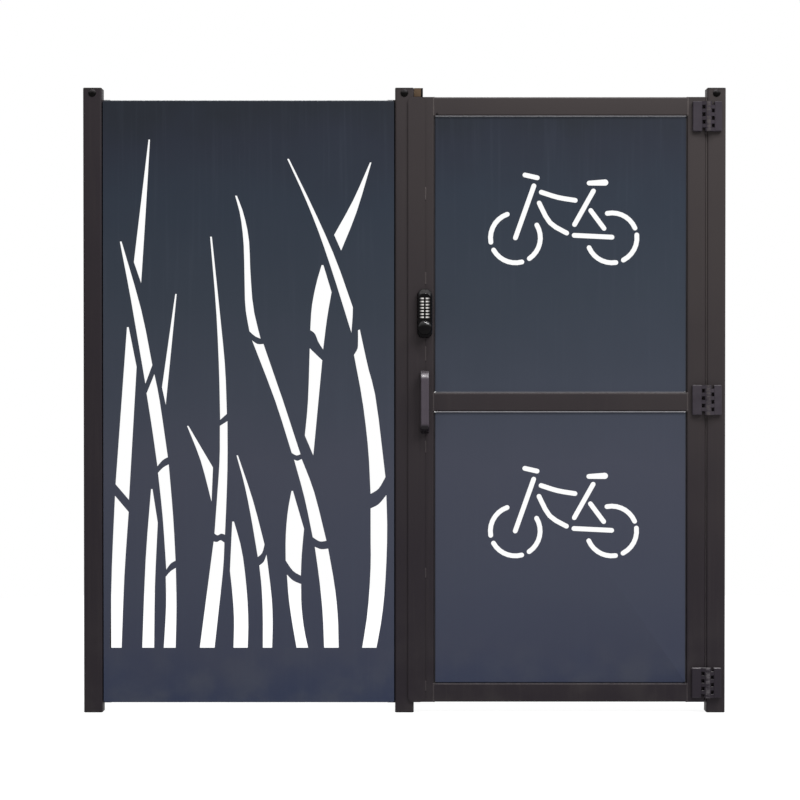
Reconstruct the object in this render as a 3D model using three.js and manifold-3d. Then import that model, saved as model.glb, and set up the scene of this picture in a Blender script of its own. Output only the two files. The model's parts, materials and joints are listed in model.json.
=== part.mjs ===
// The front of a lockable bicycle shelter, built from three square posts. A steel sheet with
// reed-shaped cut-outs fills the left bay, and the right bay is a hinged door of square tube with
// two sheet infills, three comb hinges, a push-button lock and a pull handle.
// Millimetres. X runs along the front from the fixed bay to the hinges, Y runs from the street
// to the shelter behind, and Z is up. The origin is under the foot of the middle post.
import * as THREE from "three";
import { mergeVertices } from "three/addons/utils/BufferGeometryUtils.js";
import Module from "manifold-3d";

// Bays and clearances
const bay_spacing = 1000;
const bay_height = 2005;
const seat_gap = 0.3;
const overrun = 1;
const weld_bite = 1;

// Posts, their caps, foot plugs and top bolts
const post_width = 60;
const post_wall = 3;
const post_corner = 6;
const cap_lip = 5;
const cap_edge = 1.5;
const cap_spigot = 5;
const foot_lip = 4;
const foot_edge = 1;
const foot_spigot = 25;
const plug_wall = 3;
const plug_corner = 2;
const top_bolt_drop = 17;
const bolt_radius = 5;
const bolt_neck_width = 10;
const bolt_neck_length = 6;
const bolt_head_radius = 12.3;
const bolt_head_height = 6;
const bolt_reach = 24;
const shelter_grip = 6;
const bolt_point = 1;
const nut_sides = 6;
const nut_flats = 17;
const nut_thickness = 8;
const nut_chamfer = 1.2;

// Folded sheets and the flat strips that carry them
const sheet_thickness = 2;
const flange_depth = 24;
const return_lip = 18;
const bend_relief = 3;
const bearer_reach = 24;
const bearer_thickness = 4;
const bearer_weld_room = 6;
const panel_bearer_overlap = 4;

// Fixed reed panel
const reed_panel_side_gap = 3;
const reed_panel_bottom = 32;
const reed_panel_top_drop = 40;
const reed_panel_recess = 4;

// Door frame
const lock_side_gap = 5;
const hinge_side_gap = 3.5;
const door_bottom = 34;
const door_top_drop = 30;
const door_tube_width = 60;
const door_tube_wall = 3;
const door_tube_corner = 6;
const stile_end_plate = 4;
const drain_radius = 4;
const middle_rail_height = 964;

// Door infills and their bicycle cut-out
const infill_side_gap = 4;
const infill_slit = 1.2;
const infill_recess = 6;
const wheelbase = 310;
const wheel_radius = 80;
const cut_width = 15.4;
const saddle_tail_width = 20;
const bicycle_place_share = { across: 0.32, up: 0.56 };

// Closing strip over the gap between the door and the middle post
const closing_strip_width = 54;
const closing_strip_lap = 18;
const closing_strip_thickness = 5;
const closing_strip_corner = 18;

// Comb hinges
const hinge_height = 96;
const hinge_end_inset = 63;
const hinge_fingers = 8;
const hinge_axis_past_gap = 4;
const barrel_radius = 11.25;
const barrel_lift = 0.35;
const hinge_pin_radius = 4;
const hinge_pin_point = 0.8;
const finger_gap = 0.4;
const notch_width = 8;
const door_leaf_reach = 50;
const post_leaf_reach = 44;
const leaf_rise = 2;
const leaf_edge = 2;
const leaf_corner = 3;

// Lock
const lock_above_handle = 104.5;
const lock_width = 49;
const lock_length = 157;
const lock_depth = 22;
const lock_base_depth = 8;
const lock_corner = 20;
const lock_hood_slope = 14;
const lock_side_slope = 3;
const lock_front_edge = 1.5;
const button_rows = 7;
const button_pitch = 10;
const button_column_offset = 10;
const button_width = 16;
const button_height = 7;
const button_corner = 3.2;
const button_proud = 3.5;
const button_travel = 2.5;
const button_root = 6;
const button_edge = 0.8;
const button_clearance = 0.35;
const top_button_rise = 48;
const knob_drop = 46;
const knob_radius = 23;
const knob_neck_radius = 13;
const knob_length = 25;
const knob_waist = 7;
const spindle_width = 5.5;
const spindle_bore_radius = 4.5;
const back_plate_length = 150;
const back_plate_depth = 9;
const turn_hub_radius = 15;
const turn_hub_depth = 7;
const turn_lever_length = 46;
const turn_lever_width = 13;
const turn_lever_depth = 15;
const lock_bolt_radius = 2.5;
const lock_bolt_head_radius = 5;
const lock_bolt_bite = 12;
const lock_bolt_rise = 62;
const lock_bolt_drop = 70;

// Latch and keep
const latch_width = 12;
const latch_height = 16;
const latch_bevel = 8;
const latch_set_back = 0.5;
const latch_throw = 12;
const latch_head_length = 20;
const latch_tail_length = 30;
const latch_tail_width = 6;
const latch_clearance = 0.3;
const case_radius = 12;
const case_flange_radius = 14;
const case_length = 56;
const keep_clearance = 1.5;
const strike_plate_width = 30;
const strike_plate_length = 64;
const strike_plate_thickness = 1.2;
const strike_plate_corner = 5;
const strike_screw_radius = 2.2;
const strike_screw_inset = 9;

// Lift stop, on the middle post over the door
const lift_stop_reach = 29;
const lift_stop_depth = 40;
const lift_stop_corner = 3;
const lift_stop_clearance = 2;

// Pull handle
const handle_height_from_ground = 997;
const handle_length = 202;
const handle_width = 26;
const handle_stand = 45;
const handle_grip = 12;
const handle_slope = 16;
const handle_foot = 23;
const handle_inner_slope = 6;
const handle_bend = 18;
const handle_inner_bend = 7;
const handle_edge = 2.5;
const handle_screw_radius = 3;
const handle_screw_head_radius = 5.5;
const handle_screw_head_height = 3.5;
const handle_screw_bite = 14;
const mounting_pad_margin = 1.5;

// Steps on round stretches
const fine_steps = 20;
const barrel_steps = 16;
const small_steps = 12;
const bore_steps = 10;
const corner_steps = 1;
const bend_steps = 5;
const rounded_steps = 2;
const cap_steps = 3;
const rim_steps_per_turn = 30;
const weld_distance = 0.001;

// Worked out from the sizes above
const half_post = post_width / 2;
const post_front = -half_post;
const door_left = half_post + lock_side_gap;
const door_right = bay_spacing - half_post - hinge_side_gap;
const door_width = door_right - door_left;
const door_height = bay_height - door_top_drop - door_bottom;
const door_front = post_front;
const door_back = door_front + door_tube_width;
const door_axis_y = (door_front + door_back) / 2;
const stile_centre = door_tube_width / 2;
const strip_back = door_front - seat_gap;
const strip_front = strip_back - closing_strip_thickness;
const hinge_x = bay_spacing - half_post - hinge_side_gap / 2 + hinge_axis_past_gap;
const hinge_back = post_front - seat_gap;
const hinge_y = hinge_back - barrel_lift - barrel_radius;
const lock_back = strip_front - seat_gap;
const lock_front = lock_back - lock_depth;
const lock_height_from_ground =
  handle_height_from_ground + handle_length / 2 + lock_above_handle + lock_length / 2;
const latch_height_from_ground = lock_height_from_ground - knob_drop;
const keep_width = latch_width + 2 * keep_clearance;
const keep_height = latch_height + 2 * keep_clearance;

const wasm = await Module();
wasm.setup();

// A closed geometry as a solid that can be joined and cut, with its faces pointing out.
function solid(geometry) {
  const bare = geometry.clone();
  bare.deleteAttribute("normal");
  bare.deleteAttribute("uv");
  const merged = mergeVertices(bare, weld_distance);
  const corners = merged.index.array;
  const kept = [];
  for (let i = 0; i < corners.length; i += 3) {
    const [a, b, c] = [corners[i], corners[i + 1], corners[i + 2]];
    if (a !== b && b !== c && c !== a) kept.push(a, b, c);
  }
  const build = (order) =>
    new wasm.Manifold(
      new wasm.Mesh({
        numProp: 3,
        vertProperties: merged.attributes.position.array,
        triVerts: new Uint32Array(order),
      }),
    );
  const made = build(kept);
  return made.volume() < 0 ? build(kept.reverse()) : made;
}

function joined(...pieces) {
  return pieces.reduce((whole, piece) => whole.add(piece));
}

function cut(body, ...tools) {
  return tools.reduce((left, tool) => left.subtract(tool), body);
}

// Directions in which an outline drawn in two axes is pushed along the third.
const along = {
  x: new THREE.Matrix4().makeBasis(
    new THREE.Vector3(0, 1, 0),
    new THREE.Vector3(0, 0, 1),
    new THREE.Vector3(1, 0, 0),
  ),
  y: new THREE.Matrix4().makeBasis(
    new THREE.Vector3(1, 0, 0),
    new THREE.Vector3(0, 0, 1),
    new THREE.Vector3(0, -1, 0),
  ),
  z: new THREE.Matrix4(),
};

// An outline pushed from one place on an axis to another. The outline is drawn in the other two
// axes, in the order x, y, z.
function prism(outline, axis, from, to, steps = corner_steps) {
  const geometry = new THREE.ExtrudeGeometry(outline, {
    depth: to - from,
    bevelEnabled: false,
    curveSegments: steps,
  });
  geometry.applyMatrix4(along[axis]);
  const shift = new THREE.Vector3();
  shift[axis] = axis === "y" ? to : from;
  geometry.translate(shift.x, shift.y, shift.z);
  return solid(geometry);
}

function block([x0, y0, z0], [x1, y1, z1]) {
  const geometry = new THREE.BoxGeometry(x1 - x0, y1 - y0, z1 - z0);
  geometry.translate((x0 + x1) / 2, (y0 + y1) / 2, (z0 + z1) / 2);
  return solid(geometry);
}

// A round bar along an axis; across and up are its centre in the other two axes.
function bar(axis, radius, from, to, across, up, steps = small_steps) {
  const circle = new THREE.Shape();
  for (let i = 0; i < steps; i += 1) {
    const angle = (2 * Math.PI * i) / steps;
    const [u, v] = [across + radius * Math.cos(angle), up + radius * Math.sin(angle)];
    if (i === 0) circle.moveTo(u, v);
    else circle.lineTo(u, v);
  }
  circle.closePath();
  return prism(circle, axis, from, to);
}

// A turned piece along Y, from pairs of a place on the axis and a radius.
function turned(stations, steps = fine_steps) {
  const profile = stations.map(([place, radius]) => new THREE.Vector2(radius, place));
  return solid(new THREE.LatheGeometry(profile, steps));
}

function rectangle(low_u, high_u, low_v, high_v, radius = 0) {
  const shape = new THREE.Shape();
  if (radius === 0) {
    shape.moveTo(low_u, low_v);
    shape.lineTo(high_u, low_v);
    shape.lineTo(high_u, high_v);
    shape.lineTo(low_u, high_v);
    shape.closePath();
    return shape;
  }
  const quarter = Math.PI / 2;
  shape.absarc(high_u - radius, high_v - radius, radius, 0, quarter);
  shape.absarc(low_u + radius, high_v - radius, radius, quarter, 2 * quarter);
  shape.absarc(low_u + radius, low_v + radius, radius, 2 * quarter, 3 * quarter);
  shape.absarc(high_u - radius, low_v + radius, radius, 3 * quarter, 4 * quarter);
  shape.closePath();
  return shape;
}

// A solid between outlines that all have the same number of points, at places along an axis.
function loft(axis, sections, steps = corner_steps) {
  const rings = sections.map(([place, outline]) => {
    const points = outline.getPoints(steps);
    const last = points[points.length - 1];
    if (points[0].distanceTo(last) < weld_distance) points.pop();
    return { place, points };
  });
  const count = rings[0].points.length;
  const vertices = rings.flatMap(({ place, points }) =>
    points.flatMap(({ x, y }) => {
      const vertex = new THREE.Vector3(x, y, 0).applyMatrix4(along[axis]);
      vertex[axis] = place;
      return vertex.toArray();
    }),
  );
  const index = [];
  for (let ring = 0; ring + 1 < rings.length; ring += 1) {
    for (let i = 0; i < count; i += 1) {
      const next = (i + 1) % count;
      const [a, b] = [ring * count + i, ring * count + next];
      index.push(a, b, b + count, a, b + count, a + count);
    }
  }
  const first_cap = THREE.ShapeUtils.triangulateShape(rings[0].points, []);
  for (const [a, b, c] of first_cap) index.push(a, c, b);
  const last_ring = rings[rings.length - 1];
  const top = (rings.length - 1) * count;
  const last_cap = THREE.ShapeUtils.triangulateShape(last_ring.points, []);
  for (const [a, b, c] of last_cap) index.push(top + a, top + b, top + c);
  const geometry = new THREE.BufferGeometry();
  geometry.setAttribute("position", new THREE.Float32BufferAttribute(vertices, 3));
  geometry.setIndex(index);
  return solid(geometry);
}

// Finishes as seen on the object
const finish = {
  frame: new THREE.MeshStandardMaterial({ color: 0x3b3535, roughness: 0.55, metalness: 0.1 }),
  panel: new THREE.MeshStandardMaterial({ color: 0x39414d, roughness: 0.5, metalness: 0.1 }),
  cap: new THREE.MeshStandardMaterial({ color: 0x332e2f, roughness: 0.6, metalness: 0 }),
  hinge: new THREE.MeshStandardMaterial({ color: 0x383438, roughness: 0.6, metalness: 0 }),
  lock: new THREE.MeshStandardMaterial({ color: 0x17161a, roughness: 0.3, metalness: 0.2 }),
  button: new THREE.MeshStandardMaterial({ color: 0xcfcfd2, roughness: 0.2, metalness: 1 }),
  handle: new THREE.MeshStandardMaterial({ color: 0x59585c, roughness: 0.4, metalness: 0.3 }),
  steel: new THREE.MeshStandardMaterial({ color: 0x9a9a9c, roughness: 0.35, metalness: 1 }),
};

function geometry_of(body) {
  const { numProp, vertProperties, triVerts } = body.getMesh();
  const geometry = new THREE.BufferGeometry();
  geometry.setAttribute("position", new THREE.BufferAttribute(vertProperties, numProp));
  geometry.setIndex(new THREE.BufferAttribute(triVerts, 1));
  const faceted = geometry.toNonIndexed();
  faceted.computeVertexNormals();
  return faceted;
}

function piece(group, name, material, body) {
  const mesh = new THREE.Mesh(geometry_of(body), material);
  mesh.name = name;
  group.add(mesh);
  return mesh;
}

function group_at(parent, x, y, z) {
  const group = new THREE.Group();
  group.position.set(x, y, z);
  parent.add(group);
  return group;
}

// A square tube's cross-section, centred on its axis.
function tube_section(width, wall, corner) {
  const half = width / 2;
  const inner = half - wall;
  const section = rectangle(-half, half, -half, half, corner);
  section.holes.push(rectangle(-inner, inner, -inner, inner, corner - wall));
  return section;
}

// Posts

// The flat strip that a folded sheet's return lip bears on, welded to the side of an upright tube.
// side is 1 on the tube's +X face and -1 on its -X face.
function bearer(half_width, side, front, low, high) {
  const root = side * (half_width - weld_bite);
  const tip = side * (half_width + bearer_reach);
  return block(
    [Math.min(root, tip), front, low],
    [Math.max(root, tip), front + bearer_thickness, high],
  );
}

function post(bearer_side, extra_cuts) {
  const section = tube_section(post_width, post_wall, post_corner);
  const tube = prism(section, "z", foot_lip + seat_gap, bay_height - cap_lip - seat_gap);
  const bolt_z = bay_height - top_bolt_drop;
  const half_neck = bolt_neck_width / 2 + seat_gap;
  const neck_hole = block(
    [-half_neck, post_front - overrun, bolt_z - half_neck],
    [half_neck, post_front + post_wall + overrun, bolt_z + half_neck],
  );
  const shank_hole = bar("y", bolt_radius + seat_gap, 0, half_post + overrun, 0, bolt_z);
  const body = cut(tube, neck_hole, shank_hole, ...extra_cuts);
  if (bearer_side === 0) return body;
  const front = post_front + reed_panel_recess + flange_depth + seat_gap;
  const low = reed_panel_bottom - panel_bearer_overlap;
  const high = bay_height - reed_panel_top_drop + panel_bearer_overlap;
  return joined(body, bearer(half_post, bearer_side, front, low, high));
}

// A lid or plug for the end of a post: a lip as wide as the post with an eased edge, and a hollow
// spigot inside the tube. The spigot points up for a foot and down for a cap.
function end_plug(lip, edge, spigot, upward) {
  const half = half_post;
  const lip_body = loft("z", [
    [0, rectangle(-half + edge, half - edge, -half + edge, half - edge, post_corner - edge)],
    [edge, rectangle(-half, half, -half, half, post_corner)],
    [lip, rectangle(-half, half, -half, half, post_corner)],
  ]);
  const outer = half - post_wall - seat_gap;
  const inner = outer - plug_wall;
  const collar = rectangle(-outer, outer, -outer, outer, post_corner - post_wall);
  collar.holes.push(rectangle(-inner, inner, -inner, inner, plug_corner));
  const body = joined(lip_body, prism(collar, "z", lip - weld_bite, lip + spigot));
  return upward ? body : body.mirror([0, 0, 1]);
}

// Cup-head bolt with a square neck, its head against the front of a post.
function top_bolt() {
  const seat = post_front - seat_gap;
  const head = [];
  for (let i = 0; i <= cap_steps; i += 1) {
    const angle = (Math.PI / 2) * (i / cap_steps);
    head.push([seat - bolt_head_height * Math.cos(angle), bolt_head_radius * Math.sin(angle)]);
  }
  const tip = half_post + bolt_reach;
  const shank = turned([
    ...head,
    [seat, bolt_radius],
    [tip - bolt_point, bolt_radius],
    [tip, bolt_radius - bolt_point],
    [tip, 0],
  ], barrel_steps);
  const half = bolt_neck_width / 2;
  return joined(shank, block([-half, seat - weld_bite / 2, -half], [half, seat + bolt_neck_length, half]));
}

// Its nut, behind the post by the thickness of the shelter's frame that it clamps.
function top_nut() {
  const corner_radius = nut_flats / 2 / Math.cos(Math.PI / nut_sides);
  const low = half_post + shelter_grip;
  const high = low + nut_thickness;
  const chamfer = turned([
    [low, 0],
    [low, corner_radius - nut_chamfer],
    [low + nut_chamfer, corner_radius],
    [high - nut_chamfer, corner_radius],
    [high, corner_radius - nut_chamfer],
    [high, 0],
  ], small_steps);
  const hexagon = bar("y", corner_radius, low, high, 0, 0, nut_sides);
  const bore = bar("y", bolt_radius + seat_gap, low - overrun, high + overrun, 0, 0);
  return cut(hexagon.intersect(chamfer), bore);
}

function add_post(root, side_name, x, bearer_side, extra_cuts = []) {
  const stand = group_at(root, x, 0, 0);
  piece(stand, `${side_name}_post`, finish.frame, post(bearer_side, extra_cuts));
  piece(stand, `${side_name}_foot_plug`, finish.cap, end_plug(foot_lip, foot_edge, foot_spigot, true));
  const top = group_at(stand, 0, 0, bay_height);
  piece(top, `${side_name}_post_cap`, finish.cap, end_plug(cap_lip, cap_edge, cap_spigot, false));
  const bolt = group_at(top, 0, 0, -top_bolt_drop);
  piece(bolt, `${side_name}_top_bolt`, finish.steel, top_bolt());
  piece(bolt, `${side_name}_top_nut`, finish.steel, top_nut());
}

// Folded sheets

// A sheet with its four edges folded back, small square reliefs at the corners and a lip turned in
// along both sides. Its lower front left corner is at the origin.
function folded_sheet(width, height, outlines, steps = corner_steps) {
  const [w, h, r] = [width, height, bend_relief];
  const [t, d] = [sheet_thickness, flange_depth];
  const reliefs = [];
  for (const u of [0, w - r]) {
    for (const v of [0, h - r]) {
      const [low_u, low_v] = [u === 0 ? -overrun : u, v === 0 ? -overrun : v];
      const [high_u, high_v] = [u === 0 ? r : w + overrun, v === 0 ? r : h + overrun];
      reliefs.push(block([low_u, -overrun, low_v], [high_u, d + overrun, high_v]));
    }
  }
  const tray = joined(
    block([0, 0, 0], [w, t, h]),
    block([0, 0, 0], [w, d, t]),
    block([0, 0, h - t], [w, d, h]),
    block([0, 0, 0], [t, d, h]),
    block([w - t, 0, 0], [w, d, h]),
    block([0, d - t, 0], [return_lip, d, h]),
    block([w - return_lip, d - t, 0], [w, d, h]),
  );
  const cuts = outlines.map((outline) => prism(outline, "y", -overrun, t + overrun, steps));
  return cut(tray, ...reliefs, ...cuts);
}

// Reeds. Each row is one cut-out: points around it as shares of the panel's width and height, from
// the lower left. Outlines turn sharply at plain points and run smoothly through the bend points.
const bend = true;
const reed_outline_shares = [
  [[0.157, 0.935], [0.162, 0.935], [0.147, 0.815, bend], [0.131, 0.697], [0.106, 0.732]],
  [[0.058, 0.766], [0.064, 0.766], [0.131, 0.653, bend], [0.169, 0.561], [0.145, 0.53],
    [0.096, 0.669, bend]],
  [[0.176, 0.546], [0.194, 0.502, bend], [0.222, 0.408], [0.204, 0.403, bend], [0.186, 0.393],
    [0.169, 0.452, bend], [0.149, 0.514]],
  [[0.188, 0.382], [0.206, 0.391, bend], [0.225, 0.396], [0.24, 0.308, bend], [0.248, 0.236],
    [0.231, 0.231, bend], [0.216, 0.221], [0.204, 0.308, bend]],
  [[0.214, 0.209], [0.23, 0.218, bend], [0.249, 0.224], [0.251, 0.159, bend], [0.248, 0.091],
    [0.207, 0.091], [0.215, 0.159, bend]],
  [[0.082, 0.624], [0.088, 0.624], [0.115, 0.558], [0.088, 0.337], [0.042, 0.363]],
  [[0.04, 0.344], [0.087, 0.317], [0.072, 0.211, bend], [0.062, 0.091], [0.021, 0.091],
    [0.029, 0.227, bend]],
  [[0.164, 0.355], [0.169, 0.355], [0.187, 0.299], [0.177, 0.195, bend], [0.174, 0.091],
    [0.133, 0.091], [0.145, 0.237, bend]],
  [[0.248, 0.679], [0.253, 0.679], [0.215, 0.495], [0.202, 0.524]],
  [[0.368, 0.774], [0.374, 0.774], [0.402, 0.644, bend], [0.419, 0.557, bend], [0.425, 0.48],
    [0.402, 0.47], [0.398, 0.557, bend], [0.388, 0.657, bend]],
  [[0.401, 0.46], [0.427, 0.468], [0.427, 0.398, bend], [0.423, 0.334, bend], [0.418, 0.279],
    [0.405, 0.281, bend], [0.393, 0.278, bend], [0.382, 0.281], [0.392, 0.347, bend],
    [0.4, 0.405, bend]],
  [[0.379, 0.268], [0.391, 0.267, bend], [0.403, 0.27, bend], [0.416, 0.266], [0.412, 0.224, bend],
    [0.396, 0.152, bend], [0.382, 0.091], [0.331, 0.091], [0.347, 0.149, bend],
    [0.365, 0.217, bend]],
  [[0.288, 0.46], [0.293, 0.46], [0.377, 0.391], [0.372, 0.334], [0.335, 0.402, bend]],
  [[0.443, 0.301], [0.449, 0.301], [0.476, 0.253, bend], [0.492, 0.191, bend],
    [0.498, 0.136, bend], [0.496, 0.091], [0.447, 0.091], [0.449, 0.136, bend],
    [0.444, 0.178, bend], [0.435, 0.219]],
  [[0.458, 0.411], [0.463, 0.411], [0.514, 0.337, bend], [0.554, 0.263], [0.546, 0.249, bend],
    [0.531, 0.242], [0.508, 0.308, bend], [0.485, 0.363, bend]],
  [[0.536, 0.228], [0.551, 0.234, bend], [0.561, 0.246], [0.578, 0.178, bend],
    [0.582, 0.133, bend], [0.58, 0.091], [0.548, 0.091], [0.548, 0.146, bend],
    [0.544, 0.191, bend]],
  [[0.454, 0.842], [0.46, 0.842], [0.483, 0.812, bend], [0.501, 0.77, bend], [0.506, 0.718, bend],
    [0.516, 0.657, bend], [0.541, 0.605], [0.522, 0.609, bend], [0.503, 0.617],
    [0.489, 0.657, bend], [0.486, 0.708, bend], [0.483, 0.763, bend], [0.472, 0.809, bend]],
  [[0.512, 0.602], [0.53, 0.596, bend], [0.551, 0.596], [0.618, 0.502, bend], [0.678, 0.413],
    [0.664, 0.411, bend], [0.648, 0.415], [0.591, 0.502, bend]],
  [[0.656, 0.404], [0.668, 0.402, bend], [0.682, 0.405], [0.725, 0.35, bend], [0.767, 0.269],
    [0.744, 0.268, bend], [0.72, 0.275], [0.692, 0.34, bend]],
  [[0.727, 0.259], [0.749, 0.255, bend], [0.773, 0.256], [0.795, 0.195, bend],
    [0.806, 0.143, bend], [0.809, 0.091], [0.759, 0.091], [0.754, 0.149, bend],
    [0.742, 0.207, bend]],
  [[0.633, 0.903], [0.639, 0.903], [0.725, 0.818, bend], [0.799, 0.737, bend], [0.858, 0.657],
    [0.857, 0.64, bend], [0.853, 0.615], [0.793, 0.708, bend], [0.74, 0.783, bend],
    [0.689, 0.844, bend]],
  [[0.917, 0.897], [0.922, 0.897], [0.871, 0.815, bend], [0.818, 0.751], [0.794, 0.777],
    [0.859, 0.834, bend]],
  [[0.751, 0.727], [0.757, 0.727], [0.785, 0.682], [0.769, 0.637, bend], [0.756, 0.587],
    [0.74, 0.599, bend], [0.728, 0.613, bend], [0.712, 0.619], [0.717, 0.657, bend],
    [0.732, 0.695, bend]],
  [[0.71, 0.589], [0.729, 0.58, bend], [0.753, 0.569], [0.74, 0.502, bend], [0.722, 0.411],
    [0.693, 0.444], [0.704, 0.502, bend]],
  [[0.876, 0.619], [0.882, 0.62], [0.909, 0.56, bend], [0.938, 0.502, bend], [0.97, 0.375],
    [0.947, 0.356, bend], [0.919, 0.347], [0.911, 0.421, bend], [0.891, 0.502, bend],
    [0.862, 0.578], [0.874, 0.588, bend], [0.876, 0.599, bend]],
  [[0.919, 0.323], [0.947, 0.33, bend], [0.973, 0.345], [0.976, 0.282, bend],
    [0.97, 0.204, bend], [0.958, 0.143, bend], [0.939, 0.091], [0.89, 0.091],
    [0.909, 0.152, bend], [0.919, 0.224, bend], [0.919, 0.275, bend]],
  [[0.647, 0.352], [0.652, 0.352], [0.69, 0.289], [0.682, 0.246, bend], [0.679, 0.211],
    [0.652, 0.219, bend], [0.627, 0.236], [0.627, 0.275, bend], [0.634, 0.317, bend]],
  [[0.631, 0.213], [0.652, 0.203, bend], [0.68, 0.197], [0.681, 0.162, bend],
    [0.69, 0.123, bend], [0.704, 0.091], [0.664, 0.091], [0.648, 0.136, bend],
    [0.637, 0.175, bend]],
];

function reed_path(shares, width, height) {
  const place = ([across, up]) => new THREE.Vector2(across * width, up * height);
  const start = place(shares[0]);
  const path = new THREE.Shape();
  path.moveTo(start.x, start.y);
  let run = [];
  for (const point of [...shares.slice(1), shares[0]]) {
    run.push(place(point));
    if (point[2] === bend) continue;
    if (run.length === 1) path.lineTo(run[0].x, run[0].y);
    else path.splineThru(run);
    run = [];
  }
  return path;
}

function add_reed_panel(root) {
  const left = -bay_spacing + half_post + reed_panel_side_gap;
  const right = -half_post - reed_panel_side_gap;
  const width = right - left;
  const height = bay_height - reed_panel_top_drop - reed_panel_bottom;
  const reeds = reed_outline_shares.map((shares) => reed_path(shares, width, height));
  const place = group_at(root, left, post_front + reed_panel_recess, reed_panel_bottom);
  piece(place, "reed_panel", finish.panel, folded_sheet(width, height, reeds, rounded_steps));
}

// Bicycle sign. Places are shares of the wheelbase, from the front hub.
const tube_end_shares = {
  handlebar: [[0.098, 0.65], [0.226, 0.621]],
  fork: [[0.191, 0.538], [0, 0]],
  top_tube: [[0.267, 0.472], [0.44, 0.418], [0.619, 0.388]],
  down_tube: [[0.246, 0.36], [0.357, 0.158], [0.531, 0.05]],
  seat_tube: [[0.807, 0.485], [0.612, 0.138]],
  seat_stay: [[0.779, 0.283], [0.917, 0.098]],
  chain_stay: [[0.608, 0.026], [1, 0.007]],
};
const saddle_shares = [[0.762, 0.566], [0.929, 0.572]];
// Arcs of the wheels' rims, as shares of a full turn from straight ahead.
const front_rim_turn_shares = [[0.303, 0.528], [0.581, 0.792], [0.844, 1.086]];
const rear_rim_turn_shares = [[0.064, 0.281], [-0.175, 0.019], [-0.436, -0.225]];

// A cut with round ends along a line of points, as wide as the two widths at its ends.
function stroke(line, start_width, end_width = start_width) {
  const last = line.length - 1;
  const half = (i) => (start_width + (end_width - start_width) * (i / last)) / 2;
  const heading = (i) => {
    const ahead = line[Math.min(i + 1, last)];
    return ahead.clone().sub(line[Math.max(i - 1, 0)]).angle();
  };
  const outline = [];
  const offset = (i, angle) => {
    const side = new THREE.Vector2(Math.cos(angle), Math.sin(angle));
    outline.push(line[i].clone().addScaledVector(side, half(i)));
  };
  const quarter = Math.PI / 2;
  for (let i = 0; i < last; i += 1) offset(i, heading(i) + quarter);
  for (let i = 0; i <= 2 * cap_steps; i += 1) {
    offset(last, heading(last) + quarter - (quarter * i) / cap_steps);
  }
  for (let i = last - 1; i > 0; i -= 1) offset(i, heading(i) - quarter);
  for (let i = 0; i < 2 * cap_steps; i += 1) {
    offset(0, heading(0) - quarter - (quarter * i) / cap_steps);
  }
  return new THREE.Shape(outline);
}

function bicycle_sign(hub_x, hub_z) {
  const place = ([across, up]) =>
    new THREE.Vector2(hub_x + across * wheelbase, hub_z + up * wheelbase);
  const strokes = Object.values(tube_end_shares).map((ends) => {
    const points = ends.map(place);
    if (points.length === 2) return stroke(points, cut_width);
    return stroke(new THREE.SplineCurve(points).getPoints(2 * cap_steps), cut_width);
  });
  strokes.push(stroke(saddle_shares.map(place), cut_width, saddle_tail_width));
  const wheel = (centre_x, arcs) => {
    for (const [from, to] of arcs) {
      const count = Math.ceil((to - from) * rim_steps_per_turn);
      const line = [];
      for (let i = 0; i <= count; i += 1) {
        const angle = 2 * Math.PI * (from + ((to - from) * i) / count);
        const spoke = new THREE.Vector2(Math.cos(angle), Math.sin(angle));
        line.push(new THREE.Vector2(centre_x, hub_z).addScaledVector(spoke, wheel_radius));
      }
      strokes.push(stroke(line, cut_width));
    }
  };
  wheel(hub_x, front_rim_turn_shares);
  wheel(hub_x + wheelbase, rear_rim_turn_shares);
  return strokes;
}

// Door frame, in the door's own frame: x and z from its lower left corner, y as on the posts

// A stile's strips are as long as the infills, but leave room for the middle rail's weld.
function stile(bearer_side, holes) {
  const section = tube_section(door_tube_width, door_tube_wall, door_tube_corner);
  const half = door_tube_width / 2;
  const plate = rectangle(-half, half, -half, half, door_tube_corner);
  const front = door_front + infill_recess + flange_depth + seat_gap - door_axis_y;
  const [upper, lower] = infill_spans();
  const tube = joined(
    prism(section, "z", 0, door_height),
    prism(plate, "z", 0, stile_end_plate),
    prism(plate, "z", door_height - stile_end_plate, door_height),
    bearer(half, bearer_side, front, upper[0] + bearer_weld_room, upper[1]),
    bearer(half, bearer_side, front, lower[0], lower[1] - bearer_weld_room),
  );
  const drain = bar("z", drain_radius, -overrun, stile_end_plate + overrun, 0, 0);
  return cut(tube, drain, ...holes);
}

// The same flat strip along a rail, behind the slit between the rail and an infill, between the
// strips on the stiles. side is 1 above the rail and -1 below it.
function rail_bearer(side, length) {
  const front = door_front + infill_recess + flange_depth + seat_gap - door_axis_y;
  const root = side * (door_tube_width / 2 - weld_bite);
  const tip = side * (door_tube_width / 2 + bearer_reach);
  return block(
    [bearer_reach, front, Math.min(root, tip)],
    [length - bearer_reach, front + bearer_thickness, Math.max(root, tip)],
  );
}

// The heights between which the upper and the lower infill stand.
function infill_spans() {
  const half = door_tube_width / 2;
  return [
    [middle_rail_height + half + infill_slit, door_height - door_tube_width - infill_slit],
    [door_tube_width + infill_slit, middle_rail_height - half - infill_slit],
  ];
}

function add_rail(door, name, height, bearer_sides) {
  const rail = group_at(door, door_tube_width + seat_gap, door_axis_y, height);
  const length = door_width - 2 * (door_tube_width + seat_gap);
  const section = tube_section(door_tube_width, door_tube_wall, door_tube_corner);
  const bearers = bearer_sides.map((side) => rail_bearer(side, length));
  piece(rail, name, finish.frame, joined(prism(section, "x", 0, length), ...bearers));
}

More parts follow.
